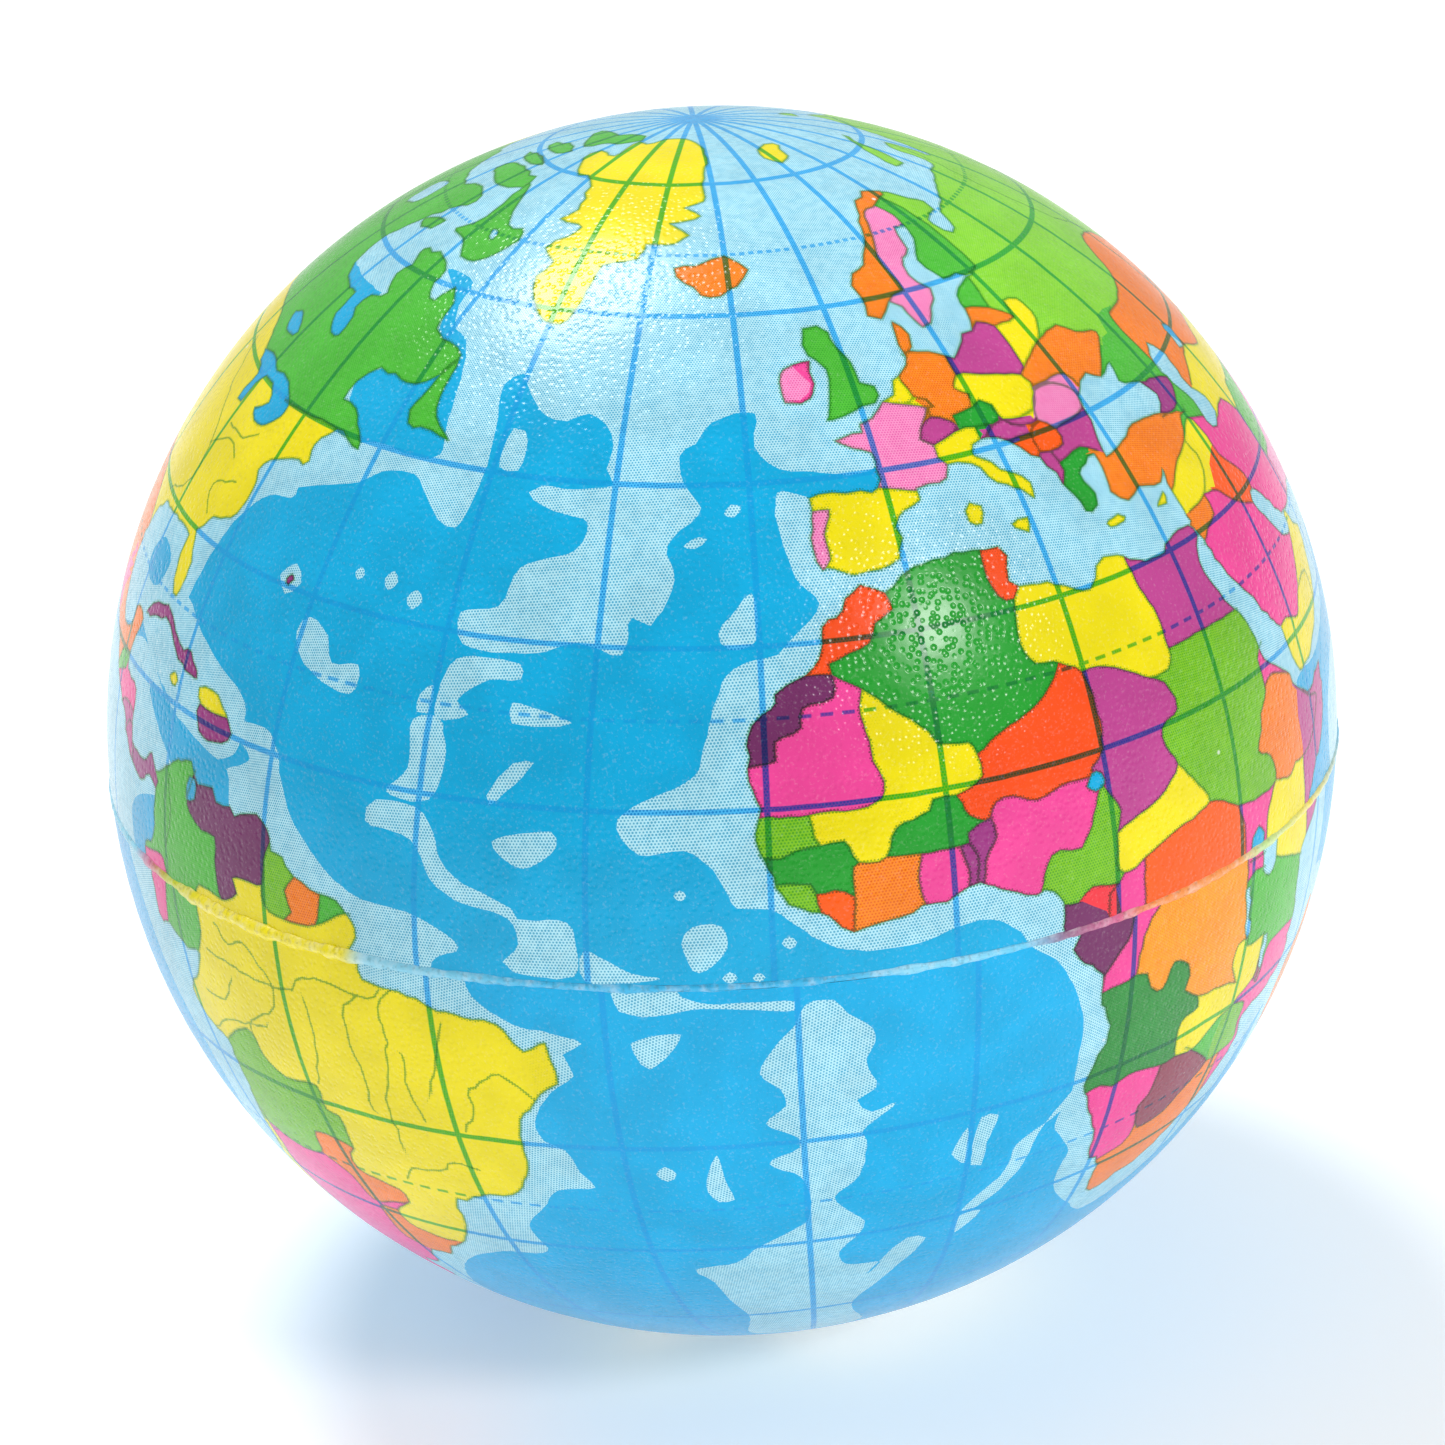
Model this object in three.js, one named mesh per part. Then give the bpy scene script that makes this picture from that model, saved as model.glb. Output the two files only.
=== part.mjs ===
// A 63 mm globe stress ball: a one-shot foam ball inside two printed skins,
// with a thin bead of moulding flash all round the seam where the skins meet.
// Millimetres. The origin is the centre of the ball, and +Z runs to the north pole.

import * as THREE from 'three';

// Driving dimensions
const BALL_DIAMETER = 63;
const SKIN_THICKNESS = 0.6;
const GAP = 0.3; // clearance kept between neighbouring solids
const BEAD_HEIGHT = 1.4; // along Z, across the seam
const BEAD_PROUD = 0.3; // how far the bead stands out of the ball
const BEAD_DEPTH = 0.6; // how far the bead reaches in under the ball's surface

// Smoothness of the round shapes
const AROUND = 48; // facets around the Z axis
const POLE_TO_SEAM = 12; // facets from a pole to the seam
const BEAD_ARC = 6; // facets over the bead's rounded back

// Derived dimensions
const ballRadius = BALL_DIAMETER / 2;
const skinInnerRadius = ballRadius - SKIN_THICKNESS;
const coreRadius = skinInnerRadius - GAP;
const rimHeight = BEAD_HEIGHT / 2 + GAP; // the skins stop here, either side of the seam

// Points along a circle of the given radius about the origin, from one height to another,
// as (distance from the axis, height).
function meridian(radius, fromHeight, toHeight, steps) {
  const from = Math.asin(fromHeight / radius);
  const to = Math.asin(toHeight / radius);
  const points = [];
  for (let i = 0; i <= steps; i++) {
    const latitude = from + ((to - from) * i) / steps;
    points.push(new THREE.Vector2(radius * Math.cos(latitude), radius * Math.sin(latitude)));
  }
  return points;
}

// A solid of revolution about Z. The profile runs upwards along the outside of the solid.
function turned(name, profile, material) {
  const geometry = new THREE.LatheGeometry(profile, AROUND);
  geometry.rotateX(Math.PI / 2);
  const mesh = new THREE.Mesh(geometry, material);
  mesh.name = name;
  return mesh;
}

// Ends that lie on the axis are set exactly on it, so that the pole is one shared point.
function onAxis(points, ...indices) {
  for (const i of indices) points.at(i).x = 0;
  return points;
}

function foamCore() {
  const profile = onAxis(meridian(coreRadius, -coreRadius, coreRadius, 2 * POLE_TO_SEAM), 0, -1);
  const foam = new THREE.MeshStandardMaterial({ color: 0xf1ecd9, roughness: 0.95, metalness: 0 });
  return turned('foam_core', profile, foam);
}

function northSkin() {
  const inside = meridian(skinInnerRadius, skinInnerRadius, rimHeight, POLE_TO_SEAM);
  const outside = meridian(ballRadius, rimHeight, ballRadius, POLE_TO_SEAM);
  const film = new THREE.MeshStandardMaterial({ color: 0x35aede, roughness: 0.42, metalness: 0 });
  return turned('north_skin', onAxis([...inside, ...outside], 0, -1), film);
}

function southSkin() {
  const outside = meridian(ballRadius, -ballRadius, -rimHeight, POLE_TO_SEAM);
  const inside = meridian(skinInnerRadius, -rimHeight, -skinInnerRadius, POLE_TO_SEAM);
  const film = new THREE.MeshStandardMaterial({ color: 0x1fa2dc, roughness: 0.42, metalness: 0 });
  return turned('south_skin', onAxis([...outside, ...inside], 0, -1), film);
}

function seamBead() {
  const innerRadius = ballRadius - BEAD_DEPTH;
  const half = BEAD_HEIGHT / 2;
  const profile = [new THREE.Vector2(innerRadius, -half)];
  for (let i = 0; i <= BEAD_ARC; i++) {
    const angle = -Math.PI / 2 + (Math.PI * i) / BEAD_ARC;
    const backRadius = ballRadius + BEAD_PROUD - half * (1 - Math.cos(angle));
    profile.push(new THREE.Vector2(backRadius, half * Math.sin(angle)));
  }
  profile.push(new THREE.Vector2(innerRadius, half), profile[0].clone());
  const flash = new THREE.MeshStandardMaterial({ color: 0xcfe4e6, roughness: 0.5, metalness: 0 });
  return turned('seam_bead', profile, flash);
}

const stressBall = new THREE.Group();
stressBall.add(foamCore(), northSkin(), southSkin(), seamBead());

export default stressBall;
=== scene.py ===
"""A globe stress ball: two printed film skins over a foam core, with moulding flash along the seam.

Metres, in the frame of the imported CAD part: the ball's centre is the origin, +Z is the north pole of the
printed map, and -Y faces the meridian that the map calls 19 degrees west.
"""

import heapq
import math
from types import SimpleNamespace

import bpy
import numpy as np
from mathutils import Matrix, Vector, kdtree, noise
from mathutils.geometry import delaunay_2d_cdt


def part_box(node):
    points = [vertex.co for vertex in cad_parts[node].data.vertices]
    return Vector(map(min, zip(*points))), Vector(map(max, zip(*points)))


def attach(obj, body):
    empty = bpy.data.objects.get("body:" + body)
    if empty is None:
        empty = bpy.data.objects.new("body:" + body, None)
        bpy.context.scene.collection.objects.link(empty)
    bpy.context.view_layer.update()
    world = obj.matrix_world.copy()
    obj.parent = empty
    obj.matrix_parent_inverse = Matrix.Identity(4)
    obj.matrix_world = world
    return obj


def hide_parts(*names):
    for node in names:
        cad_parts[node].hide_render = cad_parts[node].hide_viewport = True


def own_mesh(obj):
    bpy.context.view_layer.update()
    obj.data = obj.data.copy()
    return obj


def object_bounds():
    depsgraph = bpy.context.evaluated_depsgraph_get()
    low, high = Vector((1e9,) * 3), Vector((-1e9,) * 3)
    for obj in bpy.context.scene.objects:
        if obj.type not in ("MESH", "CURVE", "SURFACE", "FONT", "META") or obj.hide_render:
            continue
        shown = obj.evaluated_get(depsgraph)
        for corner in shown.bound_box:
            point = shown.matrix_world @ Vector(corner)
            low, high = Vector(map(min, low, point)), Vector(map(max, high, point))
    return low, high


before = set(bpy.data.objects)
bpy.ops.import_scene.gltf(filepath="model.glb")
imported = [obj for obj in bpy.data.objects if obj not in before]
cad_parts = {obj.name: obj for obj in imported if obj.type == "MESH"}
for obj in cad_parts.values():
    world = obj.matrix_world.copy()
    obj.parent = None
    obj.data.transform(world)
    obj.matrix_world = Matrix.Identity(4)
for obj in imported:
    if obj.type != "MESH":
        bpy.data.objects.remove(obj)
bpy.context.scene.view_settings.view_transform = "Standard"
CAD_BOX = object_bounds()

# ---- Sizes ----

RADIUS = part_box("north_skin")[1].z
MM = 0.001
RADIUS_MM = RADIUS / MM
MM_PER_DEGREE = RADIUS_MM * math.pi / 180
FRONT_MERIDIAN = -19.0  # the map longitude that faces -Y

# The film's mesh, in degrees of the map unless said otherwise
GRID_STEP = 2.4  # spacing of the film's own grid of points
GRID_CLEARANCE = 0.45  # how far the grid keeps from the lines, as a share of its step
RIM_STEP = 1.25  # spacing of the points along the rim of each film
OUTLINE_STEP = 0.85  # spacing of the points along the map's lines
FEWEST_STEPS = 12  # but a small island or lake has at least this many
BORDER_OVERSHOOT = 1.1  # how far each border is carried on past its ends
WALL = 100.0  # how much farther a border makes the next triangle, when the countries are filled
FAR = 1e3  # farther than any two points of a half ball
WELD = 1e-5  # points closer than this are one
TINY = 1e-9  # stands in for a length of nothing where a line is divided by its length

# The same, in mm
LINE_REACH = 0.16  # half the width of the strip of mesh along a printed line
SAMPLE_STEP = 0.06  # spacing of the places from which the distance to a line is measured
LIP_ROWS = ((0.10, 0.10), (0.55, 0.12))  # how deep under the surface and how far past the rim each row lies

# How far each kind of line wanders between the points given, as a share of the step
ROUGHNESS = dict(coasts=0.15, lakes=0.15, borders=0.06, rivers=0.16, shelves=0.05, deeps=0.05)
OPEN_LINES = ("borders", "rivers")

# ---- Inks: ground colour, dot colour (None for a solid ink), and how much a blue line darkens it ----

INKS = {
    "ocean": ("#00a6d8", None, 0.22),
    "south_ocean": ("#00a8de", None, 0.22),
    "shelf": ("#b2e3ef", "#48a4c8", 1.0),
    "yellow": ("#eada00", None, 1.0),
    "leaf": ("#1f9a2c", None, 1.0),
    "grass": ("#4fbb36", "#38a42a", 1.0),
    "lime": ("#8bd233", "#6cc026", 1.0),
    "olive": ("#7fc21c", "#4ea21c", 1.0),
    "dark_green": ("#2f8f3c", "#1f7a30", 1.0),
    "orange": ("#f5861a", "#e0640e", 1.0),
    "amber": ("#fb9f12", "#ee7c0a", 1.0),
    "fire": ("#f54e14", None, 1.0),
    "scarlet": ("#fa5a06", None, 1.0),
    "pink": ("#ea4395", None, 1.0),
    "rose": ("#f08fc0", "#e060a4", 1.0),
    "mauve": ("#b8408c", None, 1.0),
    "violet": ("#96307c", None, 1.0),
    "plum": ("#702a60", None, 1.0),
    "brown": ("#8c3c50", None, 1.0),
    "red": ("#ea3340", None, 1.0),
    "ice": ("#e6eeec", None, 1.0),
}


def linear(text):
    """A #rrggbb colour as linear red, green and blue."""
    parts = [int(text[i : i + 2], 16) / 255 for i in (1, 3, 5)]
    return [c / 12.92 if c <= 0.04045 else ((c + 0.055) / 1.055) ** 2.4 for c in parts]


# ---- The printed map, in the map's own longitude and latitude ----
# Coasts and lakes are closed outlines, borders and rivers open lines. Shelves are the outlines of the pale
# shallow sea, and deeps those of deep sea within it. Lands name one place in each country, by the
# country's ink; a country without one takes yellow.

NORTH_COASTS = {
    "africa": """9.2,-4 9.2,0 9.2,1.3 9.2,3.1 8.3,4.4 7.5,4.8 6.7,4.5 5,5.2 2.9,6.3 1.7,6.9 .6,6.7 -.4,6.2
        -2.1,5.8 -3.3,5.8 -5.2,5 -7.1,4.7 -9,4.2 -10,4.8 -11,6 -13.1,6.9 -14.6,8.3 -15.2,10 -15.8,11.3
        -16.5,13.3 -16.3,15 -16,16.3 -16.9,18.8 -17,20 -17,22.1 -16.5,24 -14.8,25.4 -14.4,26.7 -13.3,27.5
        -11.5,28.3 -10,30.2 -9.6,32.5 -7.5,33.8 -7.1,34.8 -5.4,35.9 -3.1,34.9 -2.1,35.4 -.4,36.5 2.5,37.1
        5.8,37.2 8.3,37 9.8,37 10,35 9.7,33.8 10.6,33.1 12.9,32.8 14.6,32.3 16.7,31.3 18.3,30.9 19.4,31.7
        20,32.7 22.1,33.1 23.8,32.6 24.4,32.1 26.3,31.3 28.5,31.2 30,31.9 31.7,32.3 34.6,32.3 35.3,31
        34.4,30.2 33.7,28.8 34,26.7 35,24.2 36.9,21.7 37.5,20 37.9,18.3 38.3,16.7 40,15.4 41.3,14.4
        42.5,13.5 42.7,12.5 44.2,11.3 46.7,10.2 51,11.3 48.8,5.4 45.8,2.9 43.8,.4 42.5,-4""",
    "eurasia": """-9.1,43.8 -5,43.9 -1.3,44 -.9,45.6 -.9,47 -3,47.6 -4.9,48.4 -1.3,48.8 -1.3,49.5 .5,49.9
        2.6,51.1 4.4,51.5 5.1,52.7 6.2,53 8,53.8 8.4,55.6 9.4,57.7 10.9,56.3 9.6,54.9 12.3,54.5 14.4,53.8
        15.5,53.4 19.1,55.2 21.2,55.2 22.8,57 23.4,58.4 26,59.2 30,59.7 27,60.3 23.7,60.2 22.3,61.6
        23,63.1 25.9,64.5 27.1,66.1 23.4,65.4 22.3,63.8 18.4,62.4 18.4,60.6 19.8,59.7 17.3,58.1 15.5,56.8
        13.7,56.6 12.6,58.8 10.9,59.5 8,58.1 6,58.6 6.6,59.5 6.2,61.6 9.4,63 12.3,64.3 15.5,65.9
        17.6,67.7 20.9,69.3 25.5,70.2 30.1,70.6 32.3,70.2 36,69 40.1,67.4 39.4,66.3 34.4,65.7 34.8,64.2
        38,64 40.1,65.8 45.1,66.6 50,67.7 54,68.3 60,69 66,69 68,72.5 73,73 74,69 80,72.5 88,75 98,76.5
        104,77.7 113,74 125,73.5 130,71 140,72.5 152,71 160,69.7 171,70 180,69 190,66 180,64.5 178,62.5
        170,60 163,59 162,56 156.8,51 155.7,56 161,60.5 156,61.5 150,59.3 142,59.2 135,54.6 141,53
        140,48 135,43.5 130.8,42.4 127.5,39.8 129.4,37 129,35.2 126.5,34.5 126.5,37.5 125,39.5 121.5,39
        122,40.6 118,39 119,37.2 122.4,37 119.3,35 121.8,31.5 121.5,28.5 119,25.5 114.5,22.5 110.5,21
        108,21.5 106,19 108.8,15.5 109.2,12 106.8,10.3 104.8,8.7 105,10.5 102.5,12 100.8,13.4 99.5,11
        100.2,8.4 103.3,4.5 104,1.4 101.5,2.8 100.3,6 98.3,9 98.6,13.5 97.2,17 94.5,16 94.2,19.5
        91.8,22.6 88.5,21.7 86.8,20.8 82.3,16.6 80.2,15.3 79.9,10.3 77.6,8.1 76.2,10.5 73.8,16 72.8,20
        72.3,21.6 70,21 69,22.4 67,24.8 61.6,25.2 57,25.3 54.6,26.2 52.5,28.3 50.4,30.4 49.4,30.4
        48.8,29.2 50.4,26.7 52.5,24.2 55,23.6 56.4,25.4 57.8,23.3 59.8,22.3 57.8,19 55,16.2 50.8,14
        48.3,12.9 45,12.9 44,14.6 43.5,16.7 43.3,18.1 41.7,19.6 40,22.5 38.3,24.6 36.7,27.5 36,29.6
        35.6,31 34.9,32.2 35.4,32.5 35.2,34 35,35.8 35.6,38 34.1,37 30.5,37.7 28,37 26.2,38.4 26.9,40.6
        26.9,42 25,41.5 23.4,40.9 24.1,38.8 22.5,37.4 21.2,39.5 20.5,40.6 19.4,43.4 18.4,43.8
        16.6,45.4 13.9,46.3 13,46.3 11.2,45.4 13.7,43.4 16.6,41.6 16.2,40.2 15.1,41.3 12.6,42.4
        10.5,44.5 8.9,44.9 7.6,44.9 6.9,43.8 4.6,43.6 3,43.4 3,42.4 .1,41.3 -.9,37.7 -3.1,37 -5.6,36.8
        -8.4,37.7 -8.8,37.5 -9.5,39.5 -9,42.7""",
    "americas": """-51.8,-4 -51.8,0 -51.6,.5 -50.8,1.8 -51.1,3.2 -52.7,4.8 -54.6,5 -57.3,5.9 -58.6,7.3
        -60,7.5 -60.2,8.6 -61.1,9.8 -63.2,10 -64.8,9.3 -65.5,10 -67.5,9.8 -68.2,10.9 -70.5,10.5
        -71.8,12.2 -75,11.1 -76.8,9.8 -78.2,9.2 -79.3,10.5 -80.5,9.5 -82,9.2 -84.5,9.8 -85,11.4
        -85.2,14.3 -87.3,14.7 -89.2,15.8 -88.6,18.4 -87.8,20.3 -89.3,20.9 -91,20.4 -91.2,18.4 -94.5,18
        -97,20.5 -98,24 -97.5,27 -95,30 -91.4,30.2 -86.8,30.5 -84.5,30.2 -84.5,28.2 -83.6,25.9
        -81.8,24.8 -81.4,27.7 -82.7,30.2 -83.4,31.1 -81.8,32.7 -77.3,34.8 -76.8,37.3 -77.5,39.8
        -73.3,41.5 -70.3,42 -71,43.4 -68.9,45.4 -66.8,45.1 -64,44.5 -65.4,46 -68,47.6 -71.1,47.9 -70,50.7
        -65.5,51.5 -61.1,51.2 -58,52.6 -56.7,54.5 -60,55.4 -63.9,56.2 -64.4,58.7 -66.7,60.1 -68.6,58.4
        -71.1,59 -72.2,61.2 -76.7,62.3 -83.3,62 -81.4,60.4 -82.8,59 -80,57.3 -83.9,55.7 -81.7,52.2
        -84,52 -87.2,53.4 -87.8,55.7 -93,55.9 -98,57 -100,60.1 -97,63 -93,66 -88,68 -95,69.3 -102,68.4
        -108,68 -115,68.3 -125,70 -135,69.5 -150,70.8 -157,71.3 -166,68.5 -162,66.5 -168,65.6
        -161,64.3 -165,61.5 -162,59 -158,57.5 -164,54.7 -154,58.5 -150,60.7 -145,60.3 -138,59 -131,55
        -127.5,51 -124.5,48.3 -124,43 -122,37 -117.3,32.8 -115,30 -112.5,25 -109.8,23 -112.5,29.5
        -109.5,25.8 -105.5,20.5 -101,17.5 -95.5,16 -92,13.4 -88,11.5 -86,9.5 -84,8 -81.4,7.3 -79.5,8.4
        -78,7.6 -78.2,6 -78.4,3.6 -79.3,2.3 -80.7,1.8 -80.9,.5 -81,-4""",
    "greenland": """-78,78.4 -75.6,79.3 -63.3,79 -62.2,82.3 -54.4,82 -45,83.4 -35,83.7 -23.3,83.2
        -15.5,81.2 -15.5,78.4 -18.9,75.1 -18.9,72.6 -24.4,71.8 -20,70.7 -27.8,69.8 -22.8,68.4
        -27.8,67.3 -32.2,67.3 -33.3,65.7 -40,64.8 -40.6,62.9 -41.7,60.1 -43.3,58.7 -48.9,60.1
        -52.2,62.9 -50.6,64.6 -54.4,65.9 -49.4,68.7 -56.7,69.3 -53.9,70.7 -56.7,72.9 -60,74.8 -70,75.7""",
    "iceland": "-25.6,64.8 -20,65.3 -15.6,66 -11.4,64.4 -14,62.8 -18.9,61.8 -23.3,63.2",
    "britain": """-5,58.3 -2.7,58.4 -1.3,57.7 -.9,56.3 .3,54.9 .5,53 2.3,52.5 1.6,51.1 -.2,51 -5.2,50.2
        -4.3,51.6 -3.4,54.5 -5.4,55.9""",
    "ireland": "-9.9,54.5 -8,55.2 -5.4,55.4 -5.6,53.4 -6.6,52.2 -10,52",
    "newfoundland": """-59.7,49 -58.6,51.2 -57.8,53.4 -56.7,54.3 -56.4,51.4 -55.3,49 -52.2,47.3
        -55,47.8 -58.9,47.9""",
    "baffin": """-80.6,72.3 -74.4,70.1 -68.9,67.3 -62.8,66.8 -66.1,63.4 -72.2,62.9 -76.7,64.5 -82,65
        -77.8,67.3""",
    "southampton": "-96,63.9 -92,64.8 -88,65 -89,63.7 -93,63.2",
    "victoria": "-104,72.6 -92,73.2 -82,73.2 -80,71.5 -88,70.6 -98,70.6 -106,71",
    "devon": "-110,74.2 -98,75.2 -89,74.6 -95,73.9 -106,73.6",
    "melville": "-112,76.6 -100,78 -90,77.6 -95,76.4 -106,75.9",
    "ellesmere": "-112,81 -96,82.2 -82,83.2 -66,83.6 -62,82.6 -72,81.2 -84,80.2 -90,78.8 -98,79.4",
    "cuba": """-87.5,21.1 -85.2,23 -82.7,23.6 -80.9,23 -78,21.4 -75.5,21.4 -73.4,19.5 -75,19.5
        -79,20.9 -81.4,22.3""",
    "hispaniola": "-72.7,18.9 -70.5,19.3 -68.6,18.4 -66.6,16.4 -67.7,15.2 -71.4,15.2 -72.3,16.8 -72,17.7",
    "jamaica": "-78.3,18.2 -77.4,18.8 -76.6,18.2 -77.4,17.6",
    "bermuda": "-65.3,31.8 -64.8,32.3 -64.3,31.9 -64.8,31.3",
    "sardinia": "7.6,39.7 8.4,41.3 9.6,40.8 9,39.3",
    "sicily": "12.3,38.6 14.4,38.8 13.9,37.5",
    "crete": "23.6,35.9 25.6,36.3 26.4,35.8 24.6,35.4",
    "cyprus": "31.6,35.3 33.6,36.2 33.2,35.1",
    "svalbard": "11,79 16,80.2 26,80.4 20,77.5 15.5,77",
    "novaya_zemlya": "52,71.5 56,74.5 68,76.8 61,74.4 57,71.2",
    "severnaya": "97,79.5 102,81 106,79.2",
    "new_siberia": "138,75 143,76.2 150,75.2 142,73.8",
    "sakhalin": "142,46.2 143.5,49 143,53 142.5,54.3 141.8,51",
    "hokkaido": "140.2,42 143.2,42.2 145.3,43.8 141.8,45.4 141.3,43.2",
    "honshu": "131,34 135,33.7 139,35 141,36.5 141.5,40.8 140,41 139.5,38.5 136.8,37 133,35.6",
    "kyushu": "130,31.5 131.5,31.6 131.6,33.5 130,33.4",
    "taiwan": "120.3,22.6 121.2,22.2 121.8,25 120.8,24.6",
    "luzon": "120.3,16 120.8,18.5 122.2,18.3 121.5,15 124,13 121,13.8",
    "mindanao": "122,7 125,9.7 126.3,7 125.5,5.8 124,6.3",
    "borneo": "109,-4 109.3,1.5 111.5,2.5 113.5,3.3 116.8,7 119,5 117.8,1 117.5,-4",
    "sumatra": "95.3,5.7 98,4.2 101,1.6 104.5,-4 100.7,-4 98.7,1.7",
    "celebes": "119.9,-3 119.9,.8 122,1.2 124.8,1.6 124,.5 121,.2 120.8,-3",
    "ceylon": "80,9.5 81.8,7.5 80.5,6 79.8,8",
}
NORTH_LAKES = {
    "black_sea": """28.4,41.3 29.1,43.8 29.6,45.6 31.2,47.4 34.1,48.3 36.2,47.4 39.8,48 38.7,46.3
        42.3,45.2 43.7,43.4 41.6,42 35.5,42.7 30.9,41.6""",
    "caspian": "48.6,45.5 51,47 53,45 52,42 54,39 51.5,37.2 49.8,38.4 50.3,40.5 48.9,43",
    "great_lakes": """-97,46.6 -92,47.2 -88.6,46.6 -85,46.8 -82,46 -80,44.4 -82,42.6 -85,42.2 -87,43
        -84.6,44.2 -87,45.6 -90.8,45 -91.4,42.3 -93,42.2 -92.8,45""",
    "winnipeg": "-99,50.6 -97,51.2 -92,50 -96,49.2",
    "bear_lakes": "-118,65 -112,66.4 -110,63.5 -116,62",
    "baffin_lake": "-71.5,66.4 -69.5,66.3 -68.8,65.4 -70.6,65.6",
    "maracaibo": "-72.2,8.6 -71.9,10.8 -70.9,10.8 -70.8,9",
    "lake_chad": "12.5,13.2 13.2,14.3 14.2,14 14.3,12.9 13.3,12.5",
    "lake_victoria": "32,-4 32,1.4 33,2.2 34,1.2 34,-4",
    "baikal": "104,51.6 108.5,53.6 110,55.6 108.8,53",
    "balkhash": "74.3,45.6 76,46.9 79,46.8 75.6,46.3",
    "aral": "58.5,44 60,46.4 61.6,45.4 60,43.6",
}
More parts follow.
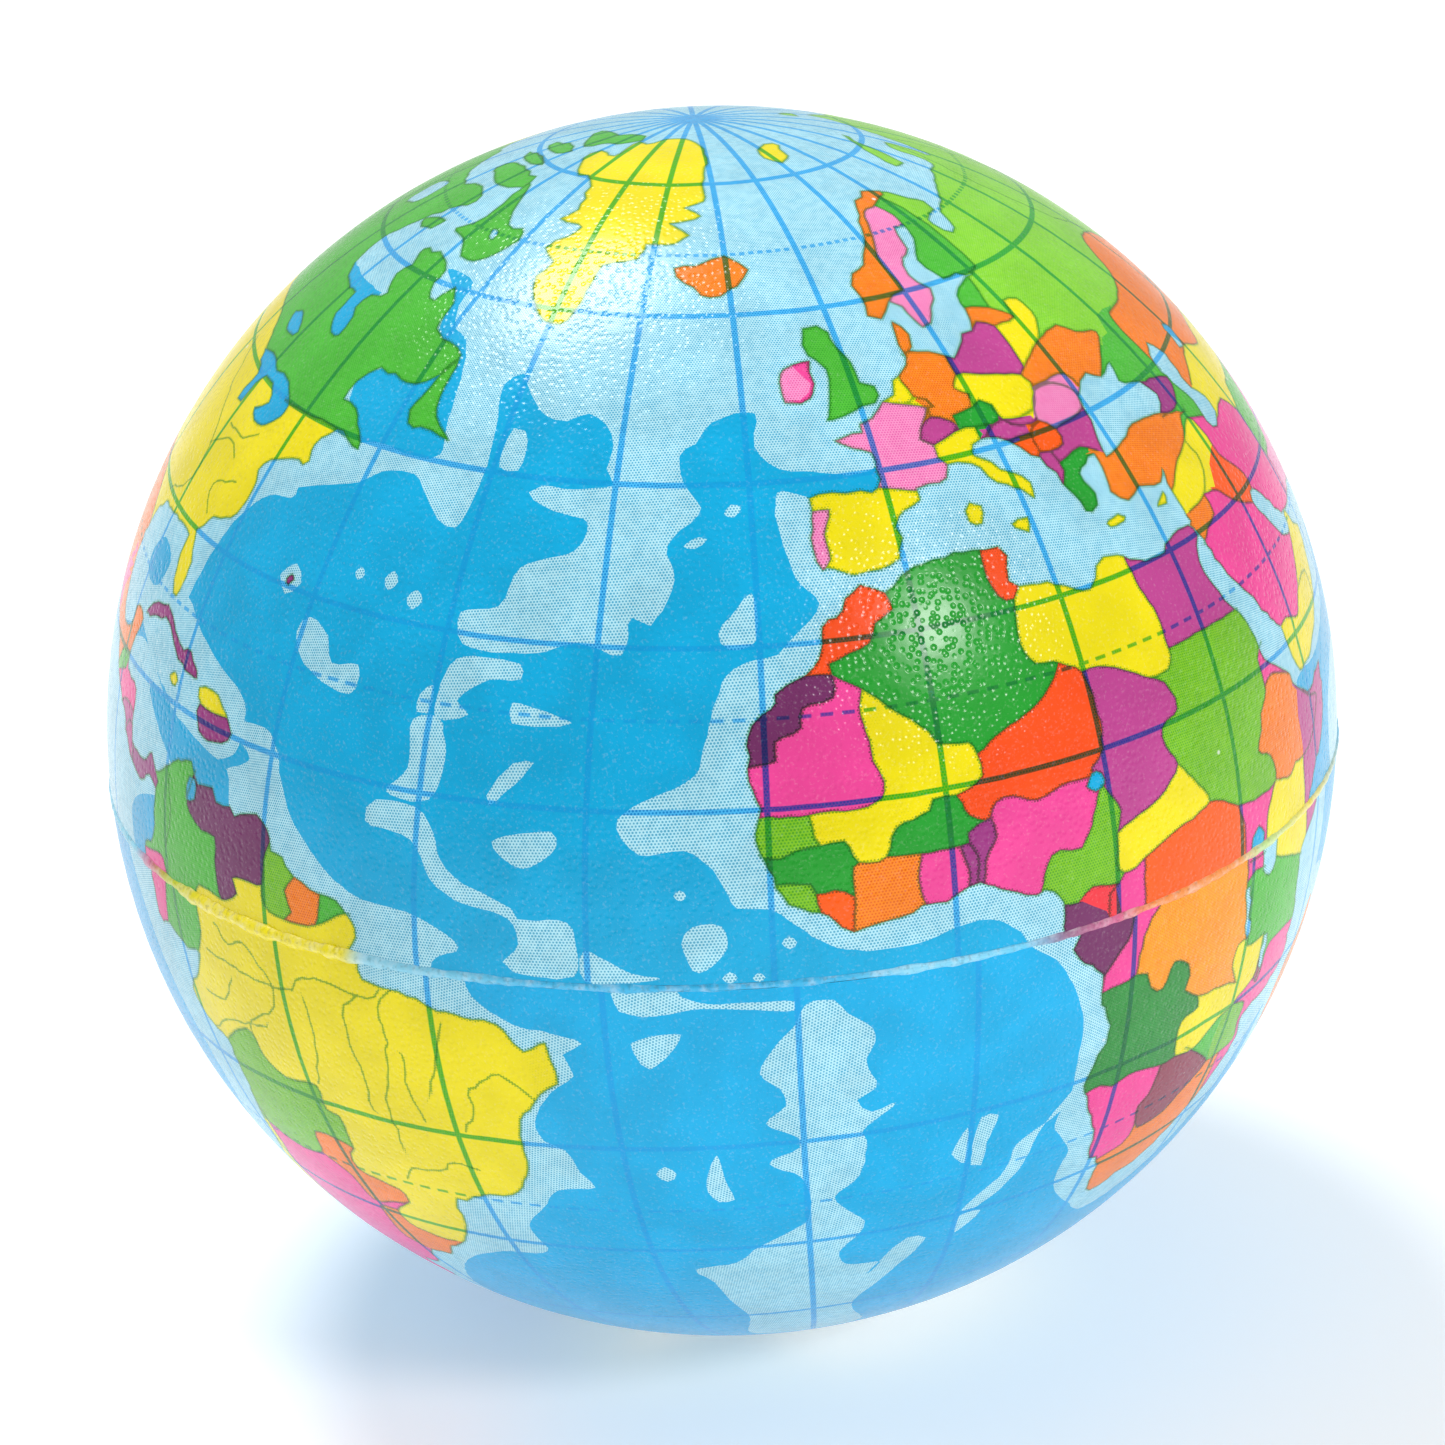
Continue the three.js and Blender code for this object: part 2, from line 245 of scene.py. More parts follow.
NORTH_BORDERS = [
    # Africa
    "-3.1,34.9 -2.7,33.3 -4.6,32.3 -5.4,30.6 -9.4,29.1 -9.2,28.1",
    "-11.5,28.2 -9.2,28.1",
    "-9.2,28.1 -9.3,26 -12.1,25.2 -12.3,23.5 -14.6,22.3 -14.6,20.6 -16.9,20.1",
    "-9.2,28.1 -6.7,26.5 -4.2,24.2 -1.3,21.7 -.6,20.4 2.1,20 2.7,18.8",
    "-6.7,26.5 -7.1,24.8 -6.5,20.8 -6,16.2 -12.1,15.4 -16.2,15.4",
    """2.7,18.8 2.9,16.7 .4,15.4 -1.7,15.4 -2.1,14.4 -5,13.3 -6,10.8 -8.3,10.6 -9.4,12.7 -11.3,12.5
    -12.1,15.3""",
    "2.7,18.8 5.4,20.4 9.2,22.1 12.3,25.3 10,25.8 9,27.9 9.2,30 9.7,32.1",
    "7.7,37.1 7.5,34.6 8.8,32.1 9.7,32.1 10.6,33.1",
    "12.3,25.3 14.5,23.8 14.8,16.2 13.3,14.8 13.3,14.2",
    "14.5,23.8 16.3,23.8 19.6,22.3 21.7,21 24.2,21 25,22.1 25,22.9 25,26.2 24,30 23.8,32.6",
    "25,22.8 30,22.9 36.4,22.8",
    "21.7,21 23.3,20 24,17.1 21.7,16 21.7,14.2 22.7,12.1 20,9.8 17.5,9 15,8",
    "15,8 15.6,10 14.6,12 14.1,12.9",
    "22.7,12.1 24.8,9.4 26,7.3 21.7,6.2 17.7,4.8 16.7,4.2 15.4,4.1 14.8,4.6 15,8",
    "17.7,4.8 17.6,2 17.7,-4",
    "14.8,3.3 13.8,2.5 13.8,-4",
    "9.2,2.9 10.6,2.7 12.1,3.8 14.8,3.3 15.4,4.1",
    "3.1,12.7 3.8,14 5.4,14.2 7.5,13.3 10,14 12.6,14",
    "2.1,6.9 2.7,9.6 3.5,10.8 3.1,12.7 1.9,12.3 1,11.7 1,10.8 1.7,9.4 1.5,7",
    "13.8,12.7 11.3,7.7 9.2,8.1 7.9,7.1 7.1,4.6",
    ".4,15.3 1.3,13.3 2.7,12.5",
    "-6,10.8 -3.1,10.6 -.8,10.6 1,10.8",
    ".2,10.7 .8,8.4 .7,6.8",
    "-3.1,10.6 -3.5,8.3 -3,5.8",
    "-8.3,10.6 -8.8,10.2 -8.8,7.5 -9,4.3",
    "-8.8,7.5 -10.4,8.3 -11.9,8.1 -12.3,9 -14.9,9.2",
    "-11.9,8.1 -11.6,6.4",
    "-16.2,11.9 -14.6,11.6 -13.4,12.2 -11.3,12.5",
    "38.6,18.4 37.1,17.2 37.1,14 35.4,12.3 35,10.8 34,9.2 36,7.9 36.5,5.4 34.2,5 30,5.4 27.9,6.7 26,7.3",
    "37.1,14.4 38.8,15 41.9,13.9",
    "44.4,11 46.3,9.8 48.3,9 45,5.8 42.5,5.2 40.8,5.4 39.6,4.6 36.5,5.4",
    "42.7,5 42.7,-4",
    "36.5,5.4 34.6,2.5 34.4,-4",
    "30,5.4 30.8,2.5 30.6,-4",
    # Arabia and the Middle East
    "35,35.8 38,37.4 42.5,38.8 46.3,40 47.5,37.5 47.5,35.4 50.4,32.1 50.2,30.4",
    "42.5,38.8 42.9,36.3 40,33.8 36,33.3",
    "40,33.8 42.5,33.3 45,31.2 48.8,29.4",
    "39.9,33.8 39.8,31.7 37.5,31 35.8,30",
    "43.5,18.1 45,18.3 48.1,17.3 50.8,19.2 55,19.2 55,16.2",
    "50.8,19.2 55,23.6",
    # Europe
    "-9,42.7 -7.2,42.7 -8.1,40.6 -7.9,38.4 -8.5,37.7",
    "-1.3,44 1,43.6 3,43.2",
    "2.6,51.1 5.1,50.6 5.9,50.6 6.9,51 6.2,52.5 6.2,53",
    "5.1,50.6 8,49.9 6.2,48.4 5.5,47.4 6.9,46.7 6.8,45.6 7.6,44.9",
    "6.2,48.4 8,49.1 10.9,47.9 10.1,47.4 8.4,47 6.9,46.7",
    "10.1,47.4 13,47.4 13,46.3",
    "8,49.1 8,49.9 9,49.9 8.4,50.6 6.9,51",
    "10.9,47.9 10.9,48.8 14,49.1 15.5,49.5 16.9,48.8 16.6,47.4 13,47.4",
    "14,49.1 14.6,50.2 13,51 14.3,52 14.4,53.8",
    "14.3,52 15.5,52 19.1,51.3 23.7,50.4 24.4,49.5 22.3,47.4 17.3,47.4 16.6,48.5",
    "17.3,47.4 15.5,47.2 13.9,46.4",
    "17.3,47.4 18,46.8 21.9,46.4 22.3,47.4",
    "16.6,45.5 18,45.6 19.8,45.6 21.9,46.4 23.7,45.2 23.4,43.8 21.2,43.6 19.8,43.8 19.3,43.5",
    "19.8,43.8 19.8,45.6",
    "21.2,43.5 21.6,41.6 20.6,40.5",
    "21.6,42.4 25.5,43 27.6,42.1",
    "22.3,47.4 24.1,48.8 27.6,48.8 30.1,47.4 29.4,45.9 23.7,45.2",
    "24.1,49.1 30.5,49.1 31.4,47.5",
    "25.1,50.9 25.3,52 25.5,54.9 23,55.8 21.3,55.3",
    "23.7,50.4 25.1,50.9 30.9,52.5 36.2,52.9 38.7,51.6 42.6,50.6 39.8,49.1 36.2,47.4",
    "30.9,52.5 33.7,54.1 33.7,56.3 30.9,56.6 30.1,55 25.5,54.9",
    "30.1,55.2 27.3,56.5 22.8,57.2",
    "27.3,56.5 28.6,59.6",
    "9.6,54.9 8.2,54.7",
    """10.9,59.5 12.4,60 14.8,60.2 14.8,63.8 16.6,65.2 18.4,66.6 21.6,68.6 25.1,68.8 28.4,69.3
    32.3,69.7 32.8,70.2""",
    "27.1,66.1 27.6,67.4 25.9,68.9",
    "30.1,69.6 32.3,67.7 32.3,60.2 29.6,59.9",
    "41.6,42 46.6,40.6 45.1,40.6 43.7,39.5 42.5,38.8",
    "42.3,45.2 48.7,43.8 46.2,41.6 41.6,41.6",
    "46.3,40 50,38.9",
    # Asia
    "48.7,44.6 48.7,50.6 55,51 61,52 68,55 76,54 87,49.5 98,52 107,49.5 116,50 120,53.3 127,50 131,47.8",
    "131,47.8 134.8,48.3 131,43",
    "87,49.5 91,45.5 96,43 103,42 112,44 120,47 116,50",
    "87,49.5 80,45 76,40 73.5,39 77,35.5 80,31 88,27.8 97,28.5 99,22.5 103,22.6 108,21.5",
    "53,41.5 60,43.6 67,41.5 71,42.5 80,42.3",
    "52.6,37.6 58,38 61.2,35.5 64.5,37.3 67.5,37.2 74.5,37.3",
    "61.6,25.2 62,28 61,31 61.2,35.5",
    "61,29.8 66,29.9 70,33.5 74.5,37.3",
    "68,23.9 70,27.5 74,31.5 77,35.5",
    "92.2,22.5 94,24 97,28.5",
    "98.6,10.2 99,14 97.5,18 100.5,20.3 102,22.5 105,19 107.5,15.5 106,11 104.6,10.4",
    "100.5,20.3 102.5,18 105,16 102.6,13.8 102.6,12",
    "100.6,6.8 102,6.2",
    "125,39.7 128,41.8 130.8,42.4",
    "126.5,37.6 128.6,38.6",
    "109.4,1.6 112,1.2 115,3.4 117.8,4.2",
    # The Americas
    "-66.8,45.1 -70,45.5 -75,45.4 -81.6,45.3",
    "-96.8,46.8 -104,49 -124.5,49",
    "-141,70.4 -141,60.3 -136.6,59.9 -130.2,56 -130.8,54.6",
    "-97.5,26.5 -101,29.7 -106.5,31.8 -117.3,32.6",
    "-93.2,14 -91.6,16.2 -89.2,16.4",
    "-91.6,14 -89.6,14.8 -89.2,15.8",
    "-89.4,11.8 -87.4,12.6 -85,12.2",
    "-87,9.9 -86,11.2 -84.8,11.2",
    "-84.5,9.8 -84,8",
    "-78,7.6 -77.6,8.4 -78.3,9.3",
    """-71,11.6 -72,8.2 -69.5,6.6 -67.5,6.6 -67.5,4.5 -66.8,1.1 -64.5,2.3 -65,3.6 -63.6,3.9 -61.1,4.1
    -60.9,6.4 -60.2,8.2""",
    "-80.8,1.4 -76.6,1.6 -76.6,-4",
    "-66.8,1.1 -70.2,1.4 -71.1,0 -71.4,-4",
    "-60.9,6.4 -60.9,2.3 -58.6,1.6 -55,2 -52.7,3.4 -51.4,3.9",
    "-57.3,5.8 -58.4,4.3 -57.7,2.5 -58.6,1.6",
    "-54.4,5 -54.6,3.4 -55,2",
    "-72,17.6 -70,17.4 -67.6,17.6",
]
NORTH_LANDS = {
    "fire": "-6,31.6 9,35 8,18 12,18",
    "orange": """-20,64 -5.6,7.4 40,9.5 38,12 57,48 -105,22 -97,18 8,61.5 10,52 9.4,56 28,56 33,50 33,40
        28,40 39,38.5 37.6,32 65,46 70,48 -56.4,3.8 102,16 104,18 110,-1 110,1""",
    "scarlet": "22,3 -10.4,7.2 20,44.8 110,5 46,34",
    "plum": "-14,24.5 -66,5.4 -70,8.4 11.6,1.4 140,37",
    "violet": "-79.5,22.2 -69.4,16.5 -81.5,8.6 45,42.6 46.4,43.4 -64.8,31.8 1.9,9",
    "pink": """-11,21.5 7,10 -1.6,8.6 40,15 44,26 41,31.6 48,27.4 33,1.6 -79.4,.6 15.4,1.2 56,33 50,36
        -87.6,13.6 -105,-2 106,13 77,26 -6,54.2""",
    "mauve": "30,27 19,18 45,9.5 19,53.2 9,48.2 26,44 17,46.4 20.4,42 91,24 -86.6,11.8 105,47",
    "yellow": """16,79 -2,18 -4,22 17,28 20,7 -100,40 -72,44 -60,-1.5 -5,41 10,45.8 6,51.8 -72.6,18.2
        -70.6,18.6 20,49 28,53.6 40,36 48,15.6 45,37 38,2 -40,75 -60,-3 100,34 102,4.4 56,21 14,41.4 8.4,40.4
        13.6,38.3 -155,65 60,41 126.6,40 143.4,44""",
    "olive": "30,14 31,9 12,5.6 -14,13.6 -59.4,4.8 -13,7.4",
    "leaf": "3,29 -4,12.4 -13,11 14.6,48.4 24,42.3 22.8,40.2 121,16.4",
    "grass": """-90,52 -115,58 -62,54 -56,49.4 -72,69 -92,64.4 -92,72 -100,74.6 -102,77 -86,82 -73,5 -53.6,4
        -3,56 1,51.8 28,64 26,58.6 48,41.2 47.4,40.6 65,33 97,20 -90.4,15.4 129,37 125,8""",
    "rose": "3,46.5 20,65 27,47.4 -8.7,40 -8,53.6 15,62 66,27",
    "lime": "60,58 40,60 100,65 36,66 37,68.4 60,74 101,80 143,75 142.6,50 80,58",
    "red": "15.4,-2 12,2.1",
}
NORTH_SHELVES = [
    "-180,57 -135,59 -90,57 -45,58 0,58 45,58 90,58 135,57",
    """-78,35.4 -73.4,38.3 -67,40.4 -61.5,41.9 -59,43.4 -54.6,43.9 -51.8,42.2 -49.6,40.6 -47.2,40.2
    -46.3,42.5 -46,45 -46.2,47.5 -46.8,50 -47.9,52.8 -45.6,54 -43.6,52.4 -40.6,50.7 -37.6,50.4 -35,51.2
    -32.6,50.4 -31.2,48.6 -31.6,46.6 -30.6,45.3 -35,44.7 -38.6,44.8 -40,44.1 -38,43.1 -35.6,42.6
    -32.8,42 -33.6,39.6 -36.6,38.6 -39,37.6 -39.7,35.9 -40.4,34 -44.1,33 -43.2,30.2 -35.9,30.2
    -32.3,31.4 -28,30.5 -27.3,33.9 -25.5,33.2 -23.4,37.3 -24.2,40.3 -20.8,43.5 -22.6,45.4 -23.3,47.9
    -21.4,48.9 -19.4,50.7 -14,51.3 -14.5,48.5 -12,46.5 -8,46 -2,45.5 10,50 34,58 20,62 -40,62 -79,60
    -79,46""",
    "-44.4,45.9 -44.2,49.3 -42.6,49.2 -41.7,47.6 -42,45.8",
    "-44.1,28 -42.7,29.1 -37.3,29.1 -37,27.7 -40,27.3 -42.7,25 -41.4,23.9 -44.5,23.2",
    "-46.4,25 -45.2,26.1 -45.2,23.4 -46.4,23.4",
    "-46.6,22.7 -44.1,23.2 -43,19.5 -44.1,15.7 -48.2,15.7 -46.4,18.2",
    """-50,13.9 -49.1,14.8 -45.2,14.8 -43.4,12.7 -42.7,10.5 -41.4,9.1 -36.4,6.8 -35.9,5.9 -31.8,5.9
    -31.1,3.6 -31.4,.9 -36.4,.9 -37.3,1.8 -35.9,3.6 -36.8,5.9 -41.4,7 -43.6,8.6 -45.5,11.8 -50,12.7""",
    "-30.5,3.4 -26.8,1.4 -24.5,.9 -30.5,.5",
    "-38.2,12.7 -33.2,14.1 -32.7,12.7 -35.5,10.5",
    "-37.5,25.5 -32,24.1 -37.3,23.6",
    "-38.9,16.8 -36.8,20 -35,20.2 -38.6,15.9",
    "-61.6,27.7 -60.5,29.3 -57.7,28.2 -56.4,25.9 -53.4,26.4 -53.6,23.6 -59.5,25",
    "-53.3,34.5 -52.5,35.4 -51.7,34.5 -52.5,33.6",
    "-57,34.4 -56.4,35 -55.8,34.4 -56.4,33.8",
    "-50.2,33.3 -49.3,34.2 -48.4,33.3 -49.3,32.4",
    "-66.4,31.9 -64.8,33.4 -63.2,31.9 -64.8,30.4",
    "-18.4,42.9 -17.6,43.7 -16.5,43.4 -17.4,42.6",
    "-22.6,40.2 -21,41 -20.2,40.8 -21.4,40",
    """-67.7,17.3 -62.3,18.2 -60.2,16.4 -59.8,14.8 -57.3,10.5 -51.4,5.9 -45,5 -41.1,2.7 -43.6,.9 -44,-4
    -60,-4 -65,8 -67.3,12.3 -63.6,15""",
    "-80,24 -78.5,30 -76.8,34.5 -73.6,37.7 -69.5,38.9 -74,44 -85,35 -98,31 -99,18 -88,20 -84,24",
    "-86,19 -80,17 -76,14.6 -72,13.6 -66,13 -64,10 -78,7 -84,4 -84,-4 -100,-4 -110,14 -92,17",
    """-27.7,15.5 -21.4,19.5 -20.7,21.8 -19.5,26.4 -18.6,28.6 -15.8,30 -5,30 10,8 10,-4 5.8,-4 5.8,0
    3.3,2.9 .4,3.3 -3.8,2.3 -10.4,2.9 -15.5,7 -18.2,7.3 -19.2,9.2 -20,10.9 -22.3,12.7 -25.9,12.3""",
    "-22.7,4.1 -21.8,5.7 -19.5,5.7 -19.1,3.6 -21.4,1.4",
    "-14.8,3.8 -14.2,4.4 -13.6,3.8 -14.2,3.2",
    "-23.2,8.6 -22.7,9.1 -22.2,8.6 -22.7,8.1",
    "-19.6,.8 -19,1.4 -18.4,.8 -19,.3",
    "-17.2,.7 -16.7,1.2 -16.2,.7 -16.7,.3",
    "-90,22 -84,26 -79,25.5 -74.5,23.4 -70,21.6 -65.6,19.6 -65.4,15.4 -68,13.6 -73,13.6 -78,16.4 -84,18.6",
    "-19.2,32.5 -17.5,34.6 -16,36 -15.8,31.7 -18.3,31",
    "-15,28.8 -12.5,31.7 -9.6,34.6 -11.6,37 -12.5,44.5 -6,42 -5,38 -5,32",
    "-5.7,36.4 0,32 31,28 30,9 45,8 43.6,12.2 51,12.6 60,16 66,24 55,50 30,50 10,47 -1,42.6 -5.5,37",
    """62,26 68,18 74,6 80,3 84,8 84,14 90,20 96,14 94,4 100,-4 122,-4 128,8 124,20 132,32 144,36
    148,46 120,54 90,30""",
    "-131,49 -128,42 -124,34 -118,26 -110,18 -104,14 -98,16 -110,32 -118,42 -126,52",
    "-136,55 -150,57 -168,50 -190,51 -196,57 -170,60 -135,60",
    "154,20 164,24 172,18 166,8 158,4 150,10",
    "-176,34 -166,38 -150,30 -152,18 -164,14 -172,22",
    "-138,18 -128,20 -124,8 -134,4 -142,10",
    "60,10 64,4 62,-4 54,-4 52,6",
]
NORTH_DEEPS = [
    """-72,50.5 -66,44.9 -62,45.6 -55,45.4 -52.4,46 -53.5,49 -54.6,52.6 -57.5,56 -60.5,56.6 -63,58.6
    -64,61 -72,61.4 -66,59.6 -64,57 -62,54 -70,51""",
    "-66,-4 -68,5 -82,16 -70,14 -66,12.4",
    "-92,26 -90,28 -86,27 -87,24 -91,24",
]
NORTH_RIVERS = [
    "-96,31 -91,34 -92,38 -96,41 -104,46",
    "-84,38.6 -88,39.4 -92,37.6",
    "-83,33 -85,35.4 -80.6,37",
    "-82,41.6 -84.6,40.4 -90,40.4",
    "-75.5,9.9 -75,6 -76,3",
    "-63,-4 -60.5,-1 -56,-1.4 -51.8,-.4",
    "107,15 105,18 102,21 98,28 94,33",
    "121,31.6 112,30.6 104,29 98,33",
    "88.5,21.8 86,25.4 80,27 78,30.6",
    "67.5,24.6 70,29 73,33.4",
    "73,72.8 66,66 68,60 76,55 84,50",
    "82,72.6 86,66 92,60 92,53",
    "127,72.8 124,65 120,60 108,55",
    "141,52.8 136,49 128,50.4 120,53",
    "-165,62.4 -156,63 -145,66.4 -136,63",
    "-135,68.8 -128,65 -120,61.4",
]

SOUTH_COASTS = {
    "africa": """9.8,4 9.8,0 8.8,-1.7 9.4,-2.7 11.9,-5 11.9,-6.9 12.7,-9.6 13.1,-11.5 12.1,-14.2 11.5,-15.8
        11.5,-17.5 12.3,-19.6 13.3,-21.7 14.3,-24.2 14.6,-26.7 16.3,-28.8 16.9,-30.8 17.3,-32.9
        18.5,-34.7 20,-34.6 21.7,-33.5 23.8,-33.5 26.3,-32.3 29.2,-29.8 32.1,-27 35.4,-22 34.6,-18.8
        38.3,-18 41.7,-15.8 41.7,-12 41.7,-10.4 41,-7.5 40.8,-4.6 42.9,-2.5 45,-.8 46,4""",
    "south_america": """-52,4 -52,0 -51.8,-1.9 -50.8,-2.1 -48.3,-2.3 -45.8,-3.1 -44.8,-3.5 -41.7,-3.8
        -39.6,-4 -38.3,-5.6 -37.5,-6.3 -35.6,-5.3 -35,-7.9 -35,-9.2 -36.7,-10.4 -37.9,-12.1 -39,-13.3
        -39.4,-15 -39.6,-18.8 -42.3,-22.5 -45.4,-23.1 -49.2,-25 -49.6,-27.5 -50.8,-30 -52.5,-31.9
        -55,-33.3 -56.7,-35.4 -60,-35.8 -62.5,-39.2 -66.3,-40.8 -65,-43 -67.4,-46 -66,-48.5 -69,-51
        -68.5,-53 -67,-55 -71,-54.6 -75,-52 -76.5,-47 -76,-43 -79,-37 -80,-31 -77.6,-27.6 -75.8,-25
        -73.8,-20 -73.1,-17.9 -73,-13.5 -74.6,-12.9 -76.9,-10.8 -76.3,-8.8 -74.6,-7.6 -73.2,-5.4
        -75.6,-5.6 -78.7,-4.3 -80.2,-4.8 -81,-3 -80.4,4""",
    "madagascar": "49.3,-12.2 50.6,-15.5 47.4,-24.9 45,-25.5 43.9,-22 44.9,-17 47,-15.2",
    "antarctica": """0,-70 20,-69.5 40,-69 55,-66 70,-68.5 75,-70 85,-66.5 110,-66 130,-66 145,-67 160,-69.5
        170,-72 165,-77.5 180,-78 200,-77.5 215,-76 230,-74.5 250,-73.5 273,-73 285,-71 292,-67
        300,-63.5 303,-63.8 298,-67 298,-72 300,-75 320,-77.5 330,-76 340,-73 350,-71""",
    "australia": """114,-22 114,-26 115.5,-31 115,-34.2 118,-35 123.5,-34 129,-31.7 132,-32 135.5,-34.8
        138,-33.5 140,-38 144,-38.5 147,-38 150,-37.3 151.5,-33 153.4,-28.5 152.5,-25 149,-21 146,-19
        145.3,-15 142.5,-11 141.5,-14 140.5,-17.5 139,-17.3 135.8,-15 136.8,-12.2 132.5,-11.5
        130,-13.5 128,-15 124,-16.5 122,-18.3 119,-20""",
    "tasmania": "145,-41 148.2,-41 147,-43.6",
    "south_island": "166.6,-46 171,-44 173.5,-41 174,-41.6 171,-45.8 168.5,-46.6",
    "north_island": "173,-34.6 175.5,-37 178.3,-37.8 176,-41 173.8,-39.4 174.6,-38",
    "new_guinea": """131,-1 134,-3.3 138,-1.7 144,-4 147,-6 150.5,-10.5 146.5,-9 143,-9 138.5,-8.3
        138,-5.5 133,-4""",
    "borneo": "109,4 109,0 110,-3 114,-4 116,-3.5 117.5,0 117.5,4",
    "sumatra": "98,4 99.5,0 101,-2.6 105.5,-6 106,-3 103.5,-.8 102,4",
    "java": "105.2,-6.8 108.7,-6.7 112.5,-6.9 114.5,-8 114,-8.7 108,-7.8",
    "celebes": "119.9,4 119.4,-3 119.7,-5.5 120.5,-3 122.5,-5.3 121.5,-2 123.3,-.9 121,-.4 120.9,4",
    "new_britain": "148.6,-5.6 151.8,-4.2 152,-5.4 149,-6.4",
    "new_caledonia": "164,-20.2 166.8,-22.2 166.2,-22.4 163.8,-20.6",
    "falklands": "-61,-51.4 -58.4,-51.6 -59.6,-52.4",
}
SOUTH_LAKES = {
    "victoria": "32.7,4 32.7,-1.4 33.2,-3.1 34.6,-3.2 35.1,-1.6 35,4",
    "tanganyika": "29.9,-3.3 30.4,-6.4 31,-8.7 31.5,-8.2 30.8,-5.6 30.6,-3.2",
    "malawi": "34.5,-10 34.8,-13.4 35.4,-13.9 35.2,-10",
}
SOUTH_BORDERS = [
    "15.2,4 15.2,0 14.8,-2 13.3,-3.8 12.1,-5.2",
    "18.5,4 18.5,0 17.1,-1.3 15.8,-4.6 15.6,-6.3 11.9,-6.9",
    "15.6,-6.3 16.9,-6.7 17.5,-8.3 19,-9 20.2,-6.7 22.1,-7.7 22.5,-9 22.1,-10.4 24.2,-11.9",
    "24.2,-11.9 29.2,-12.7 30.6,-13.3 29.2,-11 29.6,-8.8 31.1,-8.8",
    "30,4 30,-2.5 30,-3.4",
    "24.2,-11.9 24.6,-13.3 22.5,-14 22.5,-16.7 22.9,-18.1",
    "11.6,-17.7 13.3,-17.4 14.8,-18.1 16.7,-17.5 21.7,-18.3 22.9,-18.1 23.8,-18.3",
    "21,-18.3 20.6,-21.7 19.6,-22.7 20.2,-25.4 20.2,-27 19.6,-27.9 16.3,-28.6",
    "20.2,-25.4 21,-26.3 24.8,-26 26.3,-24.6 28.1,-23.3 29.6,-21.9 27.5,-20 25.2,-18.3 24.4,-17.8",
    "23.8,-18.3 25.8,-18.5 28.8,-16.5 31.3,-16 31.7,-15.4 34.2,-14.4 34.4,-9.6",
    "31.2,-8.8 31.3,-9.6 34.5,-9.8",
    "31.3,-16 33.8,-17 33.8,-19.2 34.6,-21.7 32.1,-22 30.4,-22 29.6,-21.9",
    "32.1,-22 32.1,-24.6 32.1,-27",
    "35.4,-13.5 36.3,-11.5 41.7,-11.3",
    "34.2,-14.4 35.4,-15.4 35.8,-12",
    "33,-2.2 31.4,-2 30.2,-2.6",
    "30.4,-.8 33,-.8",
    "35.1,-2 37,-2.9 41.2,-4.4",
    "42,4 42,0 42.2,-2.7",
    "-77.8,4 -77.8,0 -78.9,-4.4",
    "-72.4,4 -72.3,-1 -72.2,-3 -73.6,-5.8",
    "-73,-13.5 -70,-11.5 -67.7,-11 -67,-13.1 -64.6,-14.6 -60.4,-14.2 -60.4,-16.7 -59,-17 -59.2,-20.8",
    "-59.2,-20.8 -60.4,-20.4 -64.2,-20.4 -65.4,-23.3 -70,-24 -74,-23",
    """-59.2,-20.8 -60.2,-21.7 -60.4,-23.8 -56,-25 -55.6,-25.6 -55.8,-26.7 -57.5,-27.3 -62,-28.3
    -62.5,-25.4 -65.4,-23.3""",
    "-55.8,-26.7 -58.8,-28.8 -58.8,-30.8 -55.8,-31.9 -53.4,-31.9",
    "-58.8,-28.8 -61.3,-29 -62,-30.4 -62.7,-34.6 -60.6,-35.6",
    "-74,-21.4 -75,-26 -77.4,-31 -76.6,-38 -74.6,-46 -73.4,-52 -70,-54.4",
    "129,-14.6 129,-31.7",
    "138,-16.8 138,-26 141,-26 141,-38",
    "129,-26 138,-26",
    "141,-29 149,-29 153.2,-28.4",
    "141,-34 145,-36 149.8,-37.4",
    "141,-2.8 141,-9",
]
SOUTH_LANDS = {
    "plum": "12.6,-2",
    "pink": "16,-2.6 17,-22 39,-14 31.6,-1.4 -79.4,-2 -66,-30 145,-24 136,-4.4 -59.6,-51.9",
    "orange": "20,-30 28,-28 -61,-24.4 -60,-32 134,-20 47,-20 150,-5.4 112,-2",
    "amber": "24,-4 24,-8 146,-33",
    "dark_green": "18,-13 20,-11",
    "grass": "36,-6 33,-5 -75.6,-2 28,-19.6 172,-44 175.6,-38.4 144,-5.6 120.4,-2",
    "olive": "-65,-17.6 29.6,-19 32.4,-18.6 103,-3 122,-25",
    "yellow": """-50,-12 -55,-20 28,-14.6 33,-11.6 39,-1.4 -75.4,-23 -77.6,-33 -75.4,-48 110,-7.3
        134,-29 146.6,-42""",
    "brown": "24,-22 35,-15",
    "mauve": "43.6,-1 148,-31 165,-21.3",
    "ice": "0,-85 100,-75 200,-85 300,-80",
}
